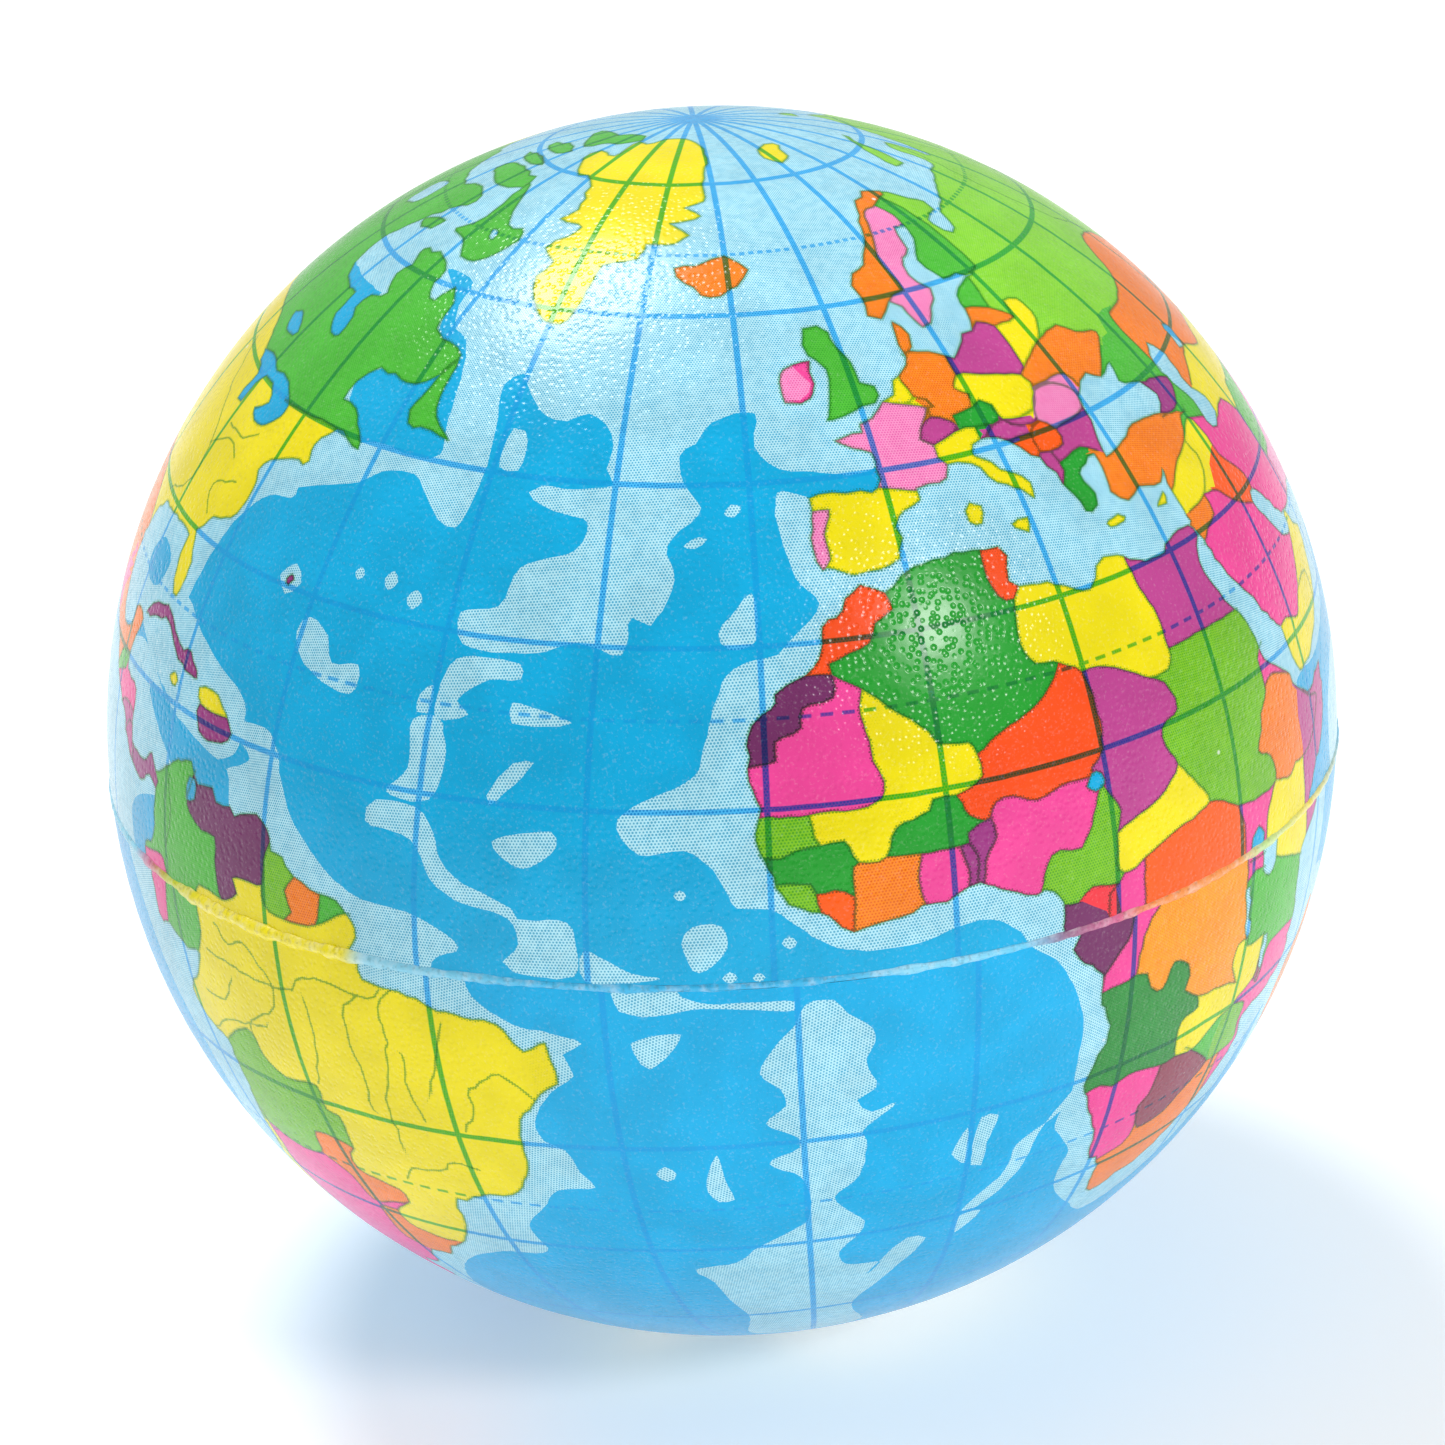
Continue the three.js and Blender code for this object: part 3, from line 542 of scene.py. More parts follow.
SOUTH_SHELVES = [
    "-180,-62 -140,-64 -100,-66 -60,-60 -30,-65 0,-64 40,-61 80,-60 120,-60 150,-62",
    """-42,4 -42,0 -41.5,-1.7 -38.3,-3.8 -35,-4.4 -32.5,-5.2 -34.2,-6.3 -33.5,-8.3 -35.8,-10.2 -37.7,-13.3
    -37.3,-15.4 -35.6,-16.3 -34.8,-18.8 -33.8,-20.6 -37.5,-21.3 -39.6,-23.8 -42.1,-26.7 -41.9,-30.8
    -47.5,-32 -54.2,-35.4 -60,-41.7 -63,-48 -64,-55 -72,-57 -80,-54 -84,-44 -85,-30 -80,-20 -84,-8
    -88,4""",
    "-28.5,-5 -24.4,-4.2 -27.1,-7.5",
    "-29.8,-.4 -29.2,-2.1 -26.3,-2.5 -22.5,-1.9 -15.2,-2.5 -15.2,-1.7 -22.9,-1.3 -24.6,-.2 -24.6,4 -29.8,4",
    "-28,-18.8 -27.1,-17.9 -26.2,-18.8 -27.1,-19.7",
    "-22.5,-16.7 -22.1,-19.6 -21.5,-22.3 -22.9,-22.5 -23.8,-20.4",
    """-15.2,-3.8 -16.7,-5.4 -18.3,-8.3 -16.7,-10 -16.3,-11.7 -18.1,-13.5 -15.4,-15.4 -15.4,-16.5
    -18.1,-18.1 -15.4,-20.2 -15,-25.8 -18.8,-28.8 -20,-29.6 -22.5,-32 -26.9,-33.1 -25.4,-35.8
    -24.6,-40 -23.3,-45 -24,-56 -8,-56 -10,-45 -6.3,-38.3 -2.9,-32.5 -5,-31.7 -9,-37.5 -7.5,-35.4
    -11.3,-34.6 -12.1,-32 -10,-29.2 -9.6,-27.5 -11.3,-25.4 -12.5,-23.3 -10.2,-20.8 -9.6,-16.7
    -10,-15.6 -7.1,-12.9 -9.2,-13.5 -10.4,-12 -8.8,-11 -9.6,-7.9 -8.8,-6.3 -9,-5 -11,-3.3
    -12.1,-1.9 -14.4,-2.1""",
    "-1.3,-19.2 -.4,-17.5 -.2,-22 -1.7,-20.4",
    ".8,-16.7 2.5,-16.9 1.7,-20 1.5,-22.9 .4,-22.5",
    ".4,-29.2 4.2,-24.6 5,-21.3 9.2,-18.8 10,-16.7 7.3,-20.4 5.8,-25.4 2.1,-29.2",
    ".4,-30 2.7,-30 .4,-32.9",
    """4.6,4 4.6,0 7.1,-2.1 9.2,-5.8 10.2,-9.2 10,-14.2 10,-16.7 8.8,-20.4 10,-22.5 11.5,-25 11,-27.5
    11.7,-30.8 15.4,-35 20,-38.8 28,-37 36,-30 40,-22 46,-18 46,4""",
    "42,-11 50,-9 54,-16 50,-27 42,-28 42,-18",
    "60,-2 72,-4 76,-12 66,-22 58,-14",
    "82,-24 94,-20 98,-34 88,-42",
    "96,4 104,-10 120,-12 128,-14 116,-18 110,-26 112,-38 138,-42 150,-46 158,-32 156,-14 162,-8 150,4",
    "160,-32 170,-30 184,-34 182,-44 170,-50 162,-48",
    "190,-8 200,-12 206,-24 196,-30 188,-20",
    "214,-40 228,-34 232,-50 220,-56",
    "240,-8 256,-4 258,-20 244,-24",
]
SOUTH_RIVERS = [
    """-50.2,-2.5 -50.8,-3.3 -53.3,-3.5 -55.2,-3.1 -58.5,-3.3 -60,-4.8 -62.5,-5.2 -63.3,-4 -65.8,-2.1
    -67.9,-2.9 -69.8,-1.5""",
    "-62.5,-5.2 -68.3,-4.8 -71.7,-4.4",
    "-68.5,-6.3 -70.6,-8.8 -73.8,-8.8",
    "-64.8,-9.6 -67.5,-10 -71.5,-11 -74.6,-12.7",
    "-62.5,-5.2 -63.4,-7.6 -67,-9.6 -67.4,-11.4",
    "-58.8,-5.4 -58.5,-8.8 -60,-13.8",
    "-52.9,-3.8 -54.4,-5.4 -54.2,-9.6 -53.8,-12.5 -54,-15",
    "-49,-2.3 -50.6,-4.2 -50.4,-5.8 -50.8,-10 -52.1,-14.2 -52.3,-17.9",
    "-49,-8.3 -49.2,-12 -48.5,-15",
    "-44.6,-4.6 -45.8,-8.3 -46.9,-11.3",
    "-44.6,-15.4 -43.3,-13.3 -43.1,-10.6 -41.3,-9.4 -40,-8.8 -37.3,-11",
    "-53.8,-22.9 -52.5,-21.3 -49.2,-20.8 -47.1,-19.4 -44.6,-19.8",
    "139,-34.6 143,-34.4 147,-31 149,-28",
    "116,-25 119,-24 121,-25.6",
]
# The two halves of the print, in degrees. The rim is the latitude on the ball where the film ends, and bend
# says how the film was bent when it was formed. Parallels and meridians give where the graticule's lines are
# printed on the map, against the degrees that they stand for. The screen angle turns the printing dots.

NORTH = SimpleNamespace(
    name="north", side=1, rim=0.26, sea="ocean", seed=5, screen_angle=2, gloss=0.21,
    coasts=NORTH_COASTS, lakes=NORTH_LAKES, borders=NORTH_BORDERS, rivers=NORTH_RIVERS,
    shelves=NORTH_SHELVES, deeps=NORTH_DEEPS, lands=NORTH_LANDS,
    bend=dict(turn=-0.35, stretch=0.6, stretch_waves=6, tilt=4.7, tilt_waves=2, azimuth=-5),
    parallels=((-5, 16.2, 24.5, 31.2, 45.4, 60.1, 66.1, 75.1, 90), (-5, 15, 23.5, 30, 45, 60, 66.5, 75, 90)),
    meridians=((-180, -76, -61, -45, -30.3, -15.5, -.5, 14.7, 30.3, 46.3, 90, 180),
               (-180, -75, -60, -45, -30, -15, 0, 15, 30, 45, 90, 180)),
)
SOUTH = SimpleNamespace(
    name="south", side=-1, rim=0.32, sea="south_ocean", seed=8, screen_angle=22, gloss=0.24,
    coasts=SOUTH_COASTS, lakes=SOUTH_LAKES, borders=SOUTH_BORDERS, rivers=SOUTH_RIVERS,
    shelves=SOUTH_SHELVES, deeps=[], lands=SOUTH_LANDS,
    bend=dict(turn=0.9, stretch=1.44, stretch_waves=2, tilt=-5.65, tilt_waves=1, azimuth=-148.3),
    parallels=((-90, -66, -45, -29.5, -23.6, -15.9, 5), (-90, -66.5, -45, -30, -23.5, -15, 5)),
    meridians=((-180, -76.4, -61.3, -45.5, -30.5, -15, 0, 15.2, 31, 90, 180),
               (-180, -75, -60, -45, -30, -15, 0, 15, 30, 90, 180)),
)


# ---- Coordinates ----

def points(text):
    """The longitudes and latitudes written in a text such as "9.2,0 9.2,1.3"."""
    return np.array([[float(v) for v in pair.split(",")] for pair in text.split()])


def to_disc(lonlat, side):
    """Longitude and latitude to a flat disc about the half's pole, with the equator at radius 90."""
    lon = np.radians(lonlat[:, 0])
    reach = 90 - side * lonlat[:, 1]
    return np.stack([reach * np.sin(lon), reach * np.cos(lon)], 1)


def from_disc(flat, side):
    """Longitude and latitude of points on the disc."""
    reach = np.hypot(flat[:, 0], flat[:, 1])
    return np.stack([np.degrees(np.arctan2(flat[:, 0], flat[:, 1])), side * (90 - reach)], 1)


def tilted(lonlat, angle, azimuth):
    """Points on a globe, each turned by its own angle about one level axis."""
    lon, lat = np.radians(lonlat).T
    d = np.stack([np.cos(lat) * np.sin(lon), np.cos(lat) * np.cos(lon), np.sin(lat)], 1)
    azimuth = math.radians(azimuth)
    axis = np.array([math.cos(azimuth), -math.sin(azimuth), 0])
    c, s = np.cos(np.radians(angle))[:, None], np.sin(np.radians(angle))[:, None]
    d = d * c - np.cross(axis, d) * s + axis * (d @ axis)[:, None] * (1 - c)
    return np.stack([np.degrees(np.arctan2(d[:, 0], d[:, 1])),
                     np.degrees(np.arcsin(np.clip(d[:, 2], -1, 1)))], 1)


def bent(lonlat, turn, stretch, stretch_waves, tilt, tilt_waves, azimuth):
    """Where the flat print came to lie on the ball when the film was formed."""
    lat = lonlat[:, 1]
    moved = np.stack([lonlat[:, 0] + turn, lat + stretch * np.sin(np.radians(stretch_waves * lat))], 1)
    return tilted(moved, tilt * np.sin(np.radians(tilt_waves * lat)), azimuth)


def directions(lonlat):
    """Unit vectors in the frame of the ball."""
    lon, lat = np.radians(lonlat[:, 0] - FRONT_MERIDIAN), np.radians(lonlat[:, 1])
    return np.stack([np.cos(lat) * np.sin(lon), -np.cos(lat) * np.cos(lon), np.sin(lat)], 1)


# ---- Outlines ----

def shrink(lonlat):
    """How much shorter a degree of longitude is than one of latitude there."""
    return np.maximum(np.cos(np.radians(lonlat[..., 1])), 0.05)


def with_neighbours(outline, closed):
    """The outline's points and, before and after them, those that the tangents at its ends need."""
    if not closed:
        return np.vstack([outline[:1], outline, outline[-1:]])
    turn = np.array([360 * round((outline[-1, 0] - outline[0, 0]) / 360), 0])  # one round the pole
    return np.vstack([outline[-1:] - turn, outline, outline[:2] + turn])


def drawn(outline, closed, rng, rough):
    """A smooth, slightly uneven line through the points given, about OUTLINE_STEP apart."""
    p = with_neighbours(outline, closed)
    gaps = np.diff(p, axis=0) * np.stack([shrink((p[1:] + p[:-1]) / 2), np.ones(len(p) - 1)], 1)
    lengths = np.maximum(np.hypot(*gaps.T), TINY)
    tangents = (p[2:] - p[:-2]) / (lengths[1:] + lengths[:-1])[:, None]
    step = min(OUTLINE_STEP, lengths.sum() / FEWEST_STEPS) if closed else OUTLINE_STEP
    out = []
    for i in range(len(tangents) - 1):
        a, b, length = p[i + 1], p[i + 2], lengths[i + 1]
        steps = max(1, round(length / step))
        t = (np.arange(steps) / steps)[:, None]
        curve = (a * (2 * t**3 - 3 * t**2 + 1) + tangents[i] * length * (t**3 - 2 * t**2 + t)
                 + b * (3 * t**2 - 2 * t**3) + tangents[i + 1] * length * (t**3 - t**2))
        wander = rng.normal(0, rough * length / steps, (steps, 2))
        wander[0] = 0
        wander[:, 0] /= shrink(curve)
        out.append(curve + wander)
    if not closed:
        out.append(outline[-1:])
    return np.vstack(out)


def beside(line, closed, distance):
    """The line moved sideways by a distance in mm."""
    scale = np.stack([shrink(line), np.ones(len(line))], 1)
    along = np.roll(line, -1, 0) - np.roll(line, 1, 0) if closed else np.gradient(line, axis=0)
    along[:, 0] = (along[:, 0] + 180) % 360 - 180
    along *= scale
    along /= np.maximum(np.hypot(*along.T), TINY)[:, None]
    across = np.stack([-along[:, 1], along[:, 0]], 1) * distance / MM_PER_DEGREE
    return line + across / scale


def carried_on(end, before):
    """A point a little past the end of a line, so that a border surely meets what it ends on."""
    scale = np.array([shrink(end), 1])
    along = (end - before) * scale
    return end + along / max(np.hypot(*along), TINY) * BORDER_OVERSHOOT / scale


def inside(flat, ring):
    """Which of the flat points lie inside a flat ring."""
    within = np.zeros(len(flat), bool)
    low, high = ring.min(0), ring.max(0)
    near = np.nonzero(((flat >= low) & (flat <= high)).all(1))[0]
    x, y = flat[near].T
    hit = np.zeros(len(near), bool)
    for (x0, y0), (x1, y1) in zip(ring, np.roll(ring, -1, 0)):
        if y0 != y1:
            hit ^= ((y0 > y) != (y1 > y)) & (x < (x1 - x0) * (y - y0) / (y1 - y0) + x0)
    within[near] = hit
    return within


def map_lines(half):
    """Every line of the half's map as it is printed, by kind."""
    rng = np.random.default_rng(half.seed)
    lines = {}
    for kind, rough in ROUGHNESS.items():
        given = getattr(half, kind)
        texts = given.values() if isinstance(given, dict) else given
        lines[kind] = [drawn(points(text), kind not in OPEN_LINES, rng, rough) for text in texts]
    return lines


# ---- The film's mesh: a triangulation that has every line of the map among its edges ----

class Sheet:
    """Flat points of one half and the edges to keep between them."""

    def __init__(self, side):
        self.side = side
        self.points, self.edges, self.barriers = [], [], set()
        self.count = 0

    def add(self, line, closed, barrier=False):
        """A line that the mesh keeps as edges. A barrier is one that the inks of the land stop at."""
        first, n = self.count, len(line)
        self.points.append(to_disc(line, self.side))
        self.count += n
        for i in range(n if closed else n - 1):
            if barrier:
                self.barriers.add(len(self.edges))
            self.edges.append((first + i, first + (i + 1) % n))

    def add_sides(self, line, closed):
        """The two edges of the strip of mesh that carries a printed line."""
        for distance in (-LINE_REACH, LINE_REACH):
            self.add(beside(line, closed, distance), closed)

    def grid(self, rim):
        """Even points over the whole half ball, clear of the lines."""
        lines = np.vstack(self.points)
        tree = kdtree.KDTree(len(lines))
        for i, (x, y) in enumerate(lines):
            tree.insert((x, y, 0), i)
        tree.balance()
        rows = []
        for k, lat in enumerate(np.arange(rim + GRID_STEP * 0.7, 90, GRID_STEP)):
            n = max(3, round(360 * math.cos(math.radians(lat)) / GRID_STEP))
            lon = (np.arange(n) + 0.5 * (k % 2)) * 360 / n
            rows.append(np.stack([lon, np.full(n, self.side * lat)], 1))
        flat = to_disc(np.vstack(rows), self.side)
        clear = [p for p in flat if tree.find((p[0], p[1], 0))[2] > GRID_CLEARANCE * GRID_STEP]
        self.points.append(np.array(clear))
        self.count += len(clear)

    def triangles(self, rim):
        """The mesh inside the rim: its points, its triangles, and those of its edges that are barriers."""
        flat = [Vector(p) for p in np.vstack(self.points)]
        verts, edges, faces, _, edge_origins, _ = delaunay_2d_cdt(flat, self.edges, [], 0, WELD, True)
        verts = np.array([v[:] for v in verts])
        faces = np.array([f for f in faces if len(f) == 3])
        faces = faces[np.hypot(*verts[faces].mean(1).T) < 90 - rim]
        walls = {tuple(sorted(edge)) for edge, origins in zip(edges, edge_origins)
                 if any(o in self.barriers for o in origins)}
        used, renumbered = np.unique(faces, return_inverse=True)
        number = {old: new for new, old in enumerate(used)}
        walls = {(number[a], number[b]) for a, b in walls if a in number and b in number}
        return verts[used], renumbered.reshape(-1, 3), walls


def film_sheet(half, lines):
    """All the lines and points that the half's mesh goes through."""
    sheet = Sheet(half.side)
    lons = np.arange(0, 360, RIM_STEP)
    sheet.add(np.stack([lons, np.full(len(lons), half.side * half.rim)], 1), True)
    for line in lines["coasts"] + lines["lakes"]:
        sheet.add(line, True, barrier=True)
        sheet.add_sides(line, True)
    for line in lines["borders"]:
        ends = carried_on(line[0], line[1]), carried_on(line[-1], line[-2])
        sheet.add(np.vstack([ends[0], line, ends[1]]), False, barrier=True)
        sheet.add_sides(line, False)
    for line in lines["rivers"]:
        sheet.add(line, False)
        sheet.add_sides(line, False)
    for line in lines["shelves"] + lines["deeps"]:
        sheet.add(line, True)
    sheet.grid(half.rim)
    return sheet


def land_neighbours(faces, walls, land, centres):
    """For each triangle, the triangles of land beside it and how far away they count as being."""
    by_edge = {}
    for f, (a, b, c) in enumerate(faces.tolist()):
        for edge in ((a, b), (b, c), (c, a)):
            by_edge.setdefault((min(edge), max(edge)), []).append(f)
    neighbours = [[] for _ in faces]
    for edge, pair in by_edge.items():
        if len(pair) == 2 and land[pair[0]] and land[pair[1]]:
            f, g = pair
            gap = math.dist(centres[f], centres[g]) + (WALL if edge in walls else 0)
            neighbours[f].append((g, gap))
            neighbours[g].append((f, gap))
    return neighbours


def filled(faces, walls, land, seeds, centres):
    """The seed that each triangle of land takes its ink from: the nearest on this side of the borders."""
    neighbours = land_neighbours(faces, walls, land, centres)
    region = np.full(len(faces), -1)
    best = np.full(len(faces), np.inf)
    at_sea = np.where(land, 0, FAR)
    queue = []
    for s, seed in enumerate(seeds):
        start = int(np.argmin(np.hypot(*(centres - seed).T) + at_sea))
        heapq.heappush(queue, (0.0, s, start))
    while queue:
        far, s, f = heapq.heappop(queue)
        if far >= best[f]:
            continue
        best[f], region[f] = far, s
        for g, gap in neighbours[f]:
            if far + gap < best[g]:
                heapq.heappush(queue, (far + gap, s, g))
    return region


def face_inks(half, lines, faces, walls, centres):
    """The name of each triangle's ink."""
    rings = {kind: [to_disc(line, half.side) for line in lines[kind]] for kind in lines}
    land = np.zeros(len(faces), bool)
    for ring in rings["coasts"]:
        land |= inside(centres, ring)
    for ring in rings["lakes"]:
        land &= ~inside(centres, ring)
    seeds = [(ink, seed) for ink, text in half.lands.items() for seed in to_disc(points(text), half.side)]
    region = filled(faces, walls, land, [seed for _, seed in seeds], centres)
    inks = np.where(land, "yellow", half.sea).astype(object)
    for s, (ink, _) in enumerate(seeds):
        inks[region == s] = ink
    for ring in rings["shelves"]:
        inks[inside(centres, ring) & ~land] = "shelf"
    for ring in rings["deeps"]:
        inks[inside(centres, ring) & ~land] = half.sea
    return inks


def near_to(lines, where):
    """The distance in mm from each direction to the nearest of the lines, up to 1 mm."""
    samples = []
    for line in lines:
        d = directions(line)
        gaps = np.linalg.norm(np.diff(d, axis=0), axis=1) * RADIUS_MM
        for a, b, gap in zip(d[:-1], d[1:], gaps):
            n = max(1, int(gap / SAMPLE_STEP))
            samples.extend(a + (b - a) * k / n for k in range(n))
        samples.append(d[-1])
    tree = kdtree.KDTree(len(samples))
    for i, sample in enumerate(samples):
        tree.insert(sample * RADIUS_MM, i)
    tree.balance()
    return np.array([min(1.0, tree.find(p * RADIUS_MM)[2]) for p in where])


def faced_outward(faces, where):
    """The same triangles, all wound so that they face away from the ball's centre."""
    a, b, c = (where[faces[:, k]] for k in range(3))
    flipped = np.einsum("ij,ij->i", np.cross(b - a, c - a), a) < 0
    faces[flipped] = faces[flipped][:, ::-1]
    return faces


def film_lip(rim, verts, side):
    """The turned-in lip along the rim, which the flash hides: its points and its faces."""
    n = len(rim)
    rows, added = [rim], []
    for depth, drop in LIP_ROWS:
        row = verts[rim] * (1 - depth / RADIUS_MM)
        row[:, 2] -= side * drop * MM
        rows.append(len(verts) + len(added) * n + np.arange(n))
        added.append(row)
    faces = []
    for upper, lower in zip(rows[:-1], rows[1:]):
        for i in range(n):
            j = (i + 1) % n
            quad = [int(k) for k in (upper[i], upper[j], lower[j], lower[i])]
            faces.append(quad if side < 0 else quad[::-1])
    return np.vstack(added), faces


def build_film(half):
    """One half of the ball's printed film, its map cut into the mesh."""
    lines = map_lines(half)
    flat, faces, walls = film_sheet(half, lines).triangles(half.rim)
    inks = face_inks(half, lines, faces, walls, flat[faces].mean(1))
    lonlat = from_disc(flat, half.side)
    on_rim = np.abs(np.abs(lonlat[:, 1]) - half.rim) < 1e-3
    surface = bent(lonlat, **half.bend)
    surface[on_rim, 1] = half.side * half.rim
    where = directions(surface)
    faces = faced_outward(faces, where)

    rim = np.nonzero(on_rim)[0]
    rim = rim[np.argsort(np.arctan2(where[rim, 0], where[rim, 1]))]
    lip_verts, lip_faces = film_lip(rim, where * RADIUS, half.side)
    mesh = bpy.data.meshes.new(half.name + "_film")
    verts = np.vstack([where * RADIUS, lip_verts])
    mesh.from_pydata(verts.tolist(), [], faces.tolist() + lip_faces)
    mesh.update()

    def over_faces(name, values):
        put(mesh, name, "FLOAT_COLOR", "FACE", np.vstack([values, np.ones((len(lip_faces), 4))]))

    def over_points(name, values):
        put(mesh, name, "FLOAT", "POINT", np.concatenate([values, np.ones(len(lip_verts))]))

    def over_lip_too(values):
        return np.vstack([values, np.tile(values[rim], (len(LIP_ROWS), 1))])

    grounds = {name: linear(ground) + [tint] for name, (ground, _, tint) in INKS.items()}
    dots = {name: linear(dot or ground) + [float(dot is not None)]
            for name, (ground, dot, _) in INKS.items()}
    over_faces("ground", [grounds[ink] for ink in inks])
    over_faces("dot", [dots[ink] for ink in inks])
    on_map = directions(lonlat)
    shores = [np.vstack([line, line[:1]]) for line in lines["coasts"] + lines["lakes"]]
    over_points("coast_mm", near_to(shores + lines["borders"], on_map))
    over_points("river_mm", near_to(lines["rivers"], on_map))
    lon, lat = lonlat.T
    printed = np.stack([np.interp(lon, *half.meridians), np.interp(lat, *half.parallels)], 1)
    put(mesh, "globe", "FLOAT_VECTOR", "POINT", over_lip_too(directions(printed)))
    rest = over_lip_too(where)
    put(mesh, "rest", "FLOAT_VECTOR", "POINT", rest)
    mesh.shade_smooth()
    mesh.normals_split_custom_set_from_vertices([Vector(n).normalized() for n in rest])
    return linked(mesh)


def put(mesh, name, kind, domain, values):
    """A named attribute on a mesh."""
    attribute = mesh.attributes.new(name, kind, domain)
    field = {"FLOAT": "value", "FLOAT_VECTOR": "vector", "FLOAT_COLOR": "color"}[kind]
    attribute.data.foreach_set(field, np.ascontiguousarray(values, np.float32).ravel())


def linked(data):
    """An object of the same name as its data, in the scene."""
    obj = bpy.data.objects.new(data.name, data)
    bpy.context.scene.collection.objects.link(obj)
    return obj


# ---- Materials ----

# Distances in mm from the middle of a printed line: where its ink begins to fade, and where it has gone
GRATICULE_FADE = (0.11, 0.17)
CIRCLE_FADE = (0.07, 0.13)
COAST_FADE = (0.06, 0.13)
RIVER_FADE = (0.05, 0.10)
GRATICULE_EVERY = 15.0  # degrees
NO_EQUATOR = (2.0, 3.0)  # degrees from the seam: no parallel nearer than the first, and all past the second
TROPIC, POLAR_CIRCLE = 23.5, 66.5  # the dashed circles, in degrees
DASH_EVERY = 1.9  # degrees of longitude
DASH_FADE = (0.5, 0.62)  # degrees from a dash's middle

DOT_SPACING = 0.158  # mm between the dots of the printing screen
ROW_HEIGHT = math.sqrt(3)  # a hexagonal lattice is two rectangular ones, this much taller than wide

WHITE = (1, 1, 1, 1)
SPECK_INK = (0.95, 0.95, 0.92, 1)
# pale spots of bare film, partly a painted highlight for glints off the film's pits
BARE_FILM_AND_GLINT = (0.9, 0.9, 0.86, 1)
LINE_OVER_SEA, LINE_OVER_REST = (0.9, 0.93, 0.98, 1), (0.03, 0.54, 0.95, 1)
COAST_INK, RIVER_INK = (0.2, 0.46, 0.2, 1), (0.14, 0.44, 0.2, 1)
BRUISED_FILM = (0.86, 0.92, 0.92, 1)
# the foam's cream colour, and a darker one painted into its pits as shade
FOAM_PORE_SHADE, FOAM_WALL = (0.62, 0.55, 0.38, 1), (0.86, 0.81, 0.66, 1)
PAPER_DARK, PAPER_PALE = (0.86, 0.86, 0.86, 1), (0.89, 0.89, 0.89, 1)


class Shader:
    """A short way to write a node tree."""

    def __init__(self, name):
        self.material = bpy.data.materials.new(name)
        self.material.use_nodes = True
        self.nodes, self.links = self.material.node_tree.nodes, self.material.node_tree.links
        self.surface = self.nodes["Principled BSDF"]

    def node(self, kind, *values, **settings):
        """A new node with the values given fed to its first inputs."""
        made = self.nodes.new(kind)
        for key, value in settings.items():
            setattr(made, key, value)
        for socket, value in zip(made.inputs, values):
            self.feed(socket, value)
        return made

    def feed(self, socket, value):
        if isinstance(value, bpy.types.NodeSocket):
            self.links.new(value, socket)
        else:
            socket.default_value = value

    def set(self, **values):
        """Feeds the surface's inputs, such as Base_Color."""
        for name, value in values.items():
            self.feed(self.surface.inputs[name.replace("_", " ")], value)

    def math(self, operation, *values):
        return self.node("ShaderNodeMath", *values, operation=operation).outputs[0]

    def plus(self, a, b):
        return self.math("ADD", a, b)

    def minus(self, a, b):
        return self.math("SUBTRACT", a, b)

    def times(self, a, b):
        return self.math("MULTIPLY", a, b)

    def size(self, value):
        return self.math("ABSOLUTE", value)

    def wrap(self, value, half):
        return self.math("WRAP", value, half, -half)

    def scaled(self, vector, factor):
        made = self.node("ShaderNodeVectorMath", vector, operation="SCALE")
        self.feed(made.inputs["Scale"], factor)
        return made.outputs[0]

    def split(self, vector):
        return self.node("ShaderNodeSeparateXYZ", vector).outputs

    def mix(self, factor, a, b, blend="MIX"):
        made = self.node("ShaderNodeMix", data_type="RGBA", blend_type=blend, clamp_factor=True)
        for socket, value in zip((made.inputs[0], made.inputs[6], made.inputs[7]), (factor, a, b)):
            self.feed(socket, value)
        return made.outputs[2]

    def attribute(self, name):
        return self.node("ShaderNodeAttribute", attribute_name=name).outputs

    def ramp(self, value, low, high, to_low=0.0, to_high=1.0):
        made = self.node("ShaderNodeMapRange", value, low, high, to_low, to_high,
                         interpolation_type="SMOOTHSTEP")
        return made.outputs[0]

    def inked(self, distance, fade):
        """1 in the middle of a printed line and 0 past its edge."""
        return self.ramp(distance, *fade, 1.0, 0.0)

    def noise(self, vector, scale, detail, rough=0.5):
        made = self.node("ShaderNodeTexNoise")
        for name, value in (("Vector", vector), ("Scale", scale), ("Detail", detail), ("Roughness", rough)):
            self.feed(made.inputs[name], value)
        return made.outputs[0]

    def cells(self, vector, scale, randomness=1.0):
        made = self.node("ShaderNodeTexVoronoi")
        for name, value in (("Vector", vector), ("Scale", scale), ("Randomness", randomness)):
            self.feed(made.inputs[name], value)
        return made.outputs

    def bump(self, height, strength, distance):
        made = self.node("ShaderNodeBump")
        for name, value in (("Strength", strength), ("Distance", distance), ("Height", height)):
            self.feed(made.inputs[name], value)
        return made.outputs[0]

    def millimetres(self):
        """The place on the unsqueezed ball, in mm."""
        return self.scaled(self.attribute("rest")["Vector"], RADIUS_MM)


def screen_dots(s, angle):
    """How far each point of the film is from the middle of its printing dot, in dot spacings."""
    rest_x, rest_y, rest_z = s.split(s.attribute("rest")["Vector"])
    # a conformal chart of each half of the ball, front and back, keeps the dots round
    scale = s.math("DIVIDE", 2 * RADIUS_MM / DOT_SPACING, s.plus(s.size(rest_y), 1.0))
    u, v = s.times(rest_x, scale), s.times(rest_z, scale)
    c, n = math.cos(math.radians(angle)), math.sin(math.radians(angle))
    x = s.plus(s.times(u, c), s.times(v, n))
    y = s.minus(s.times(v, c), s.times(u, n))
    distances = []
    for shift in (0.0, 0.5):
        px = s.wrap(s.plus(x, shift), 0.5)
        py = s.wrap(s.plus(y, shift * ROW_HEIGHT), ROW_HEIGHT / 2)
        distances.append(s.math("SQRT", s.plus(s.times(px, px), s.times(py, py))))
    return s.math("MINIMUM", *distances)


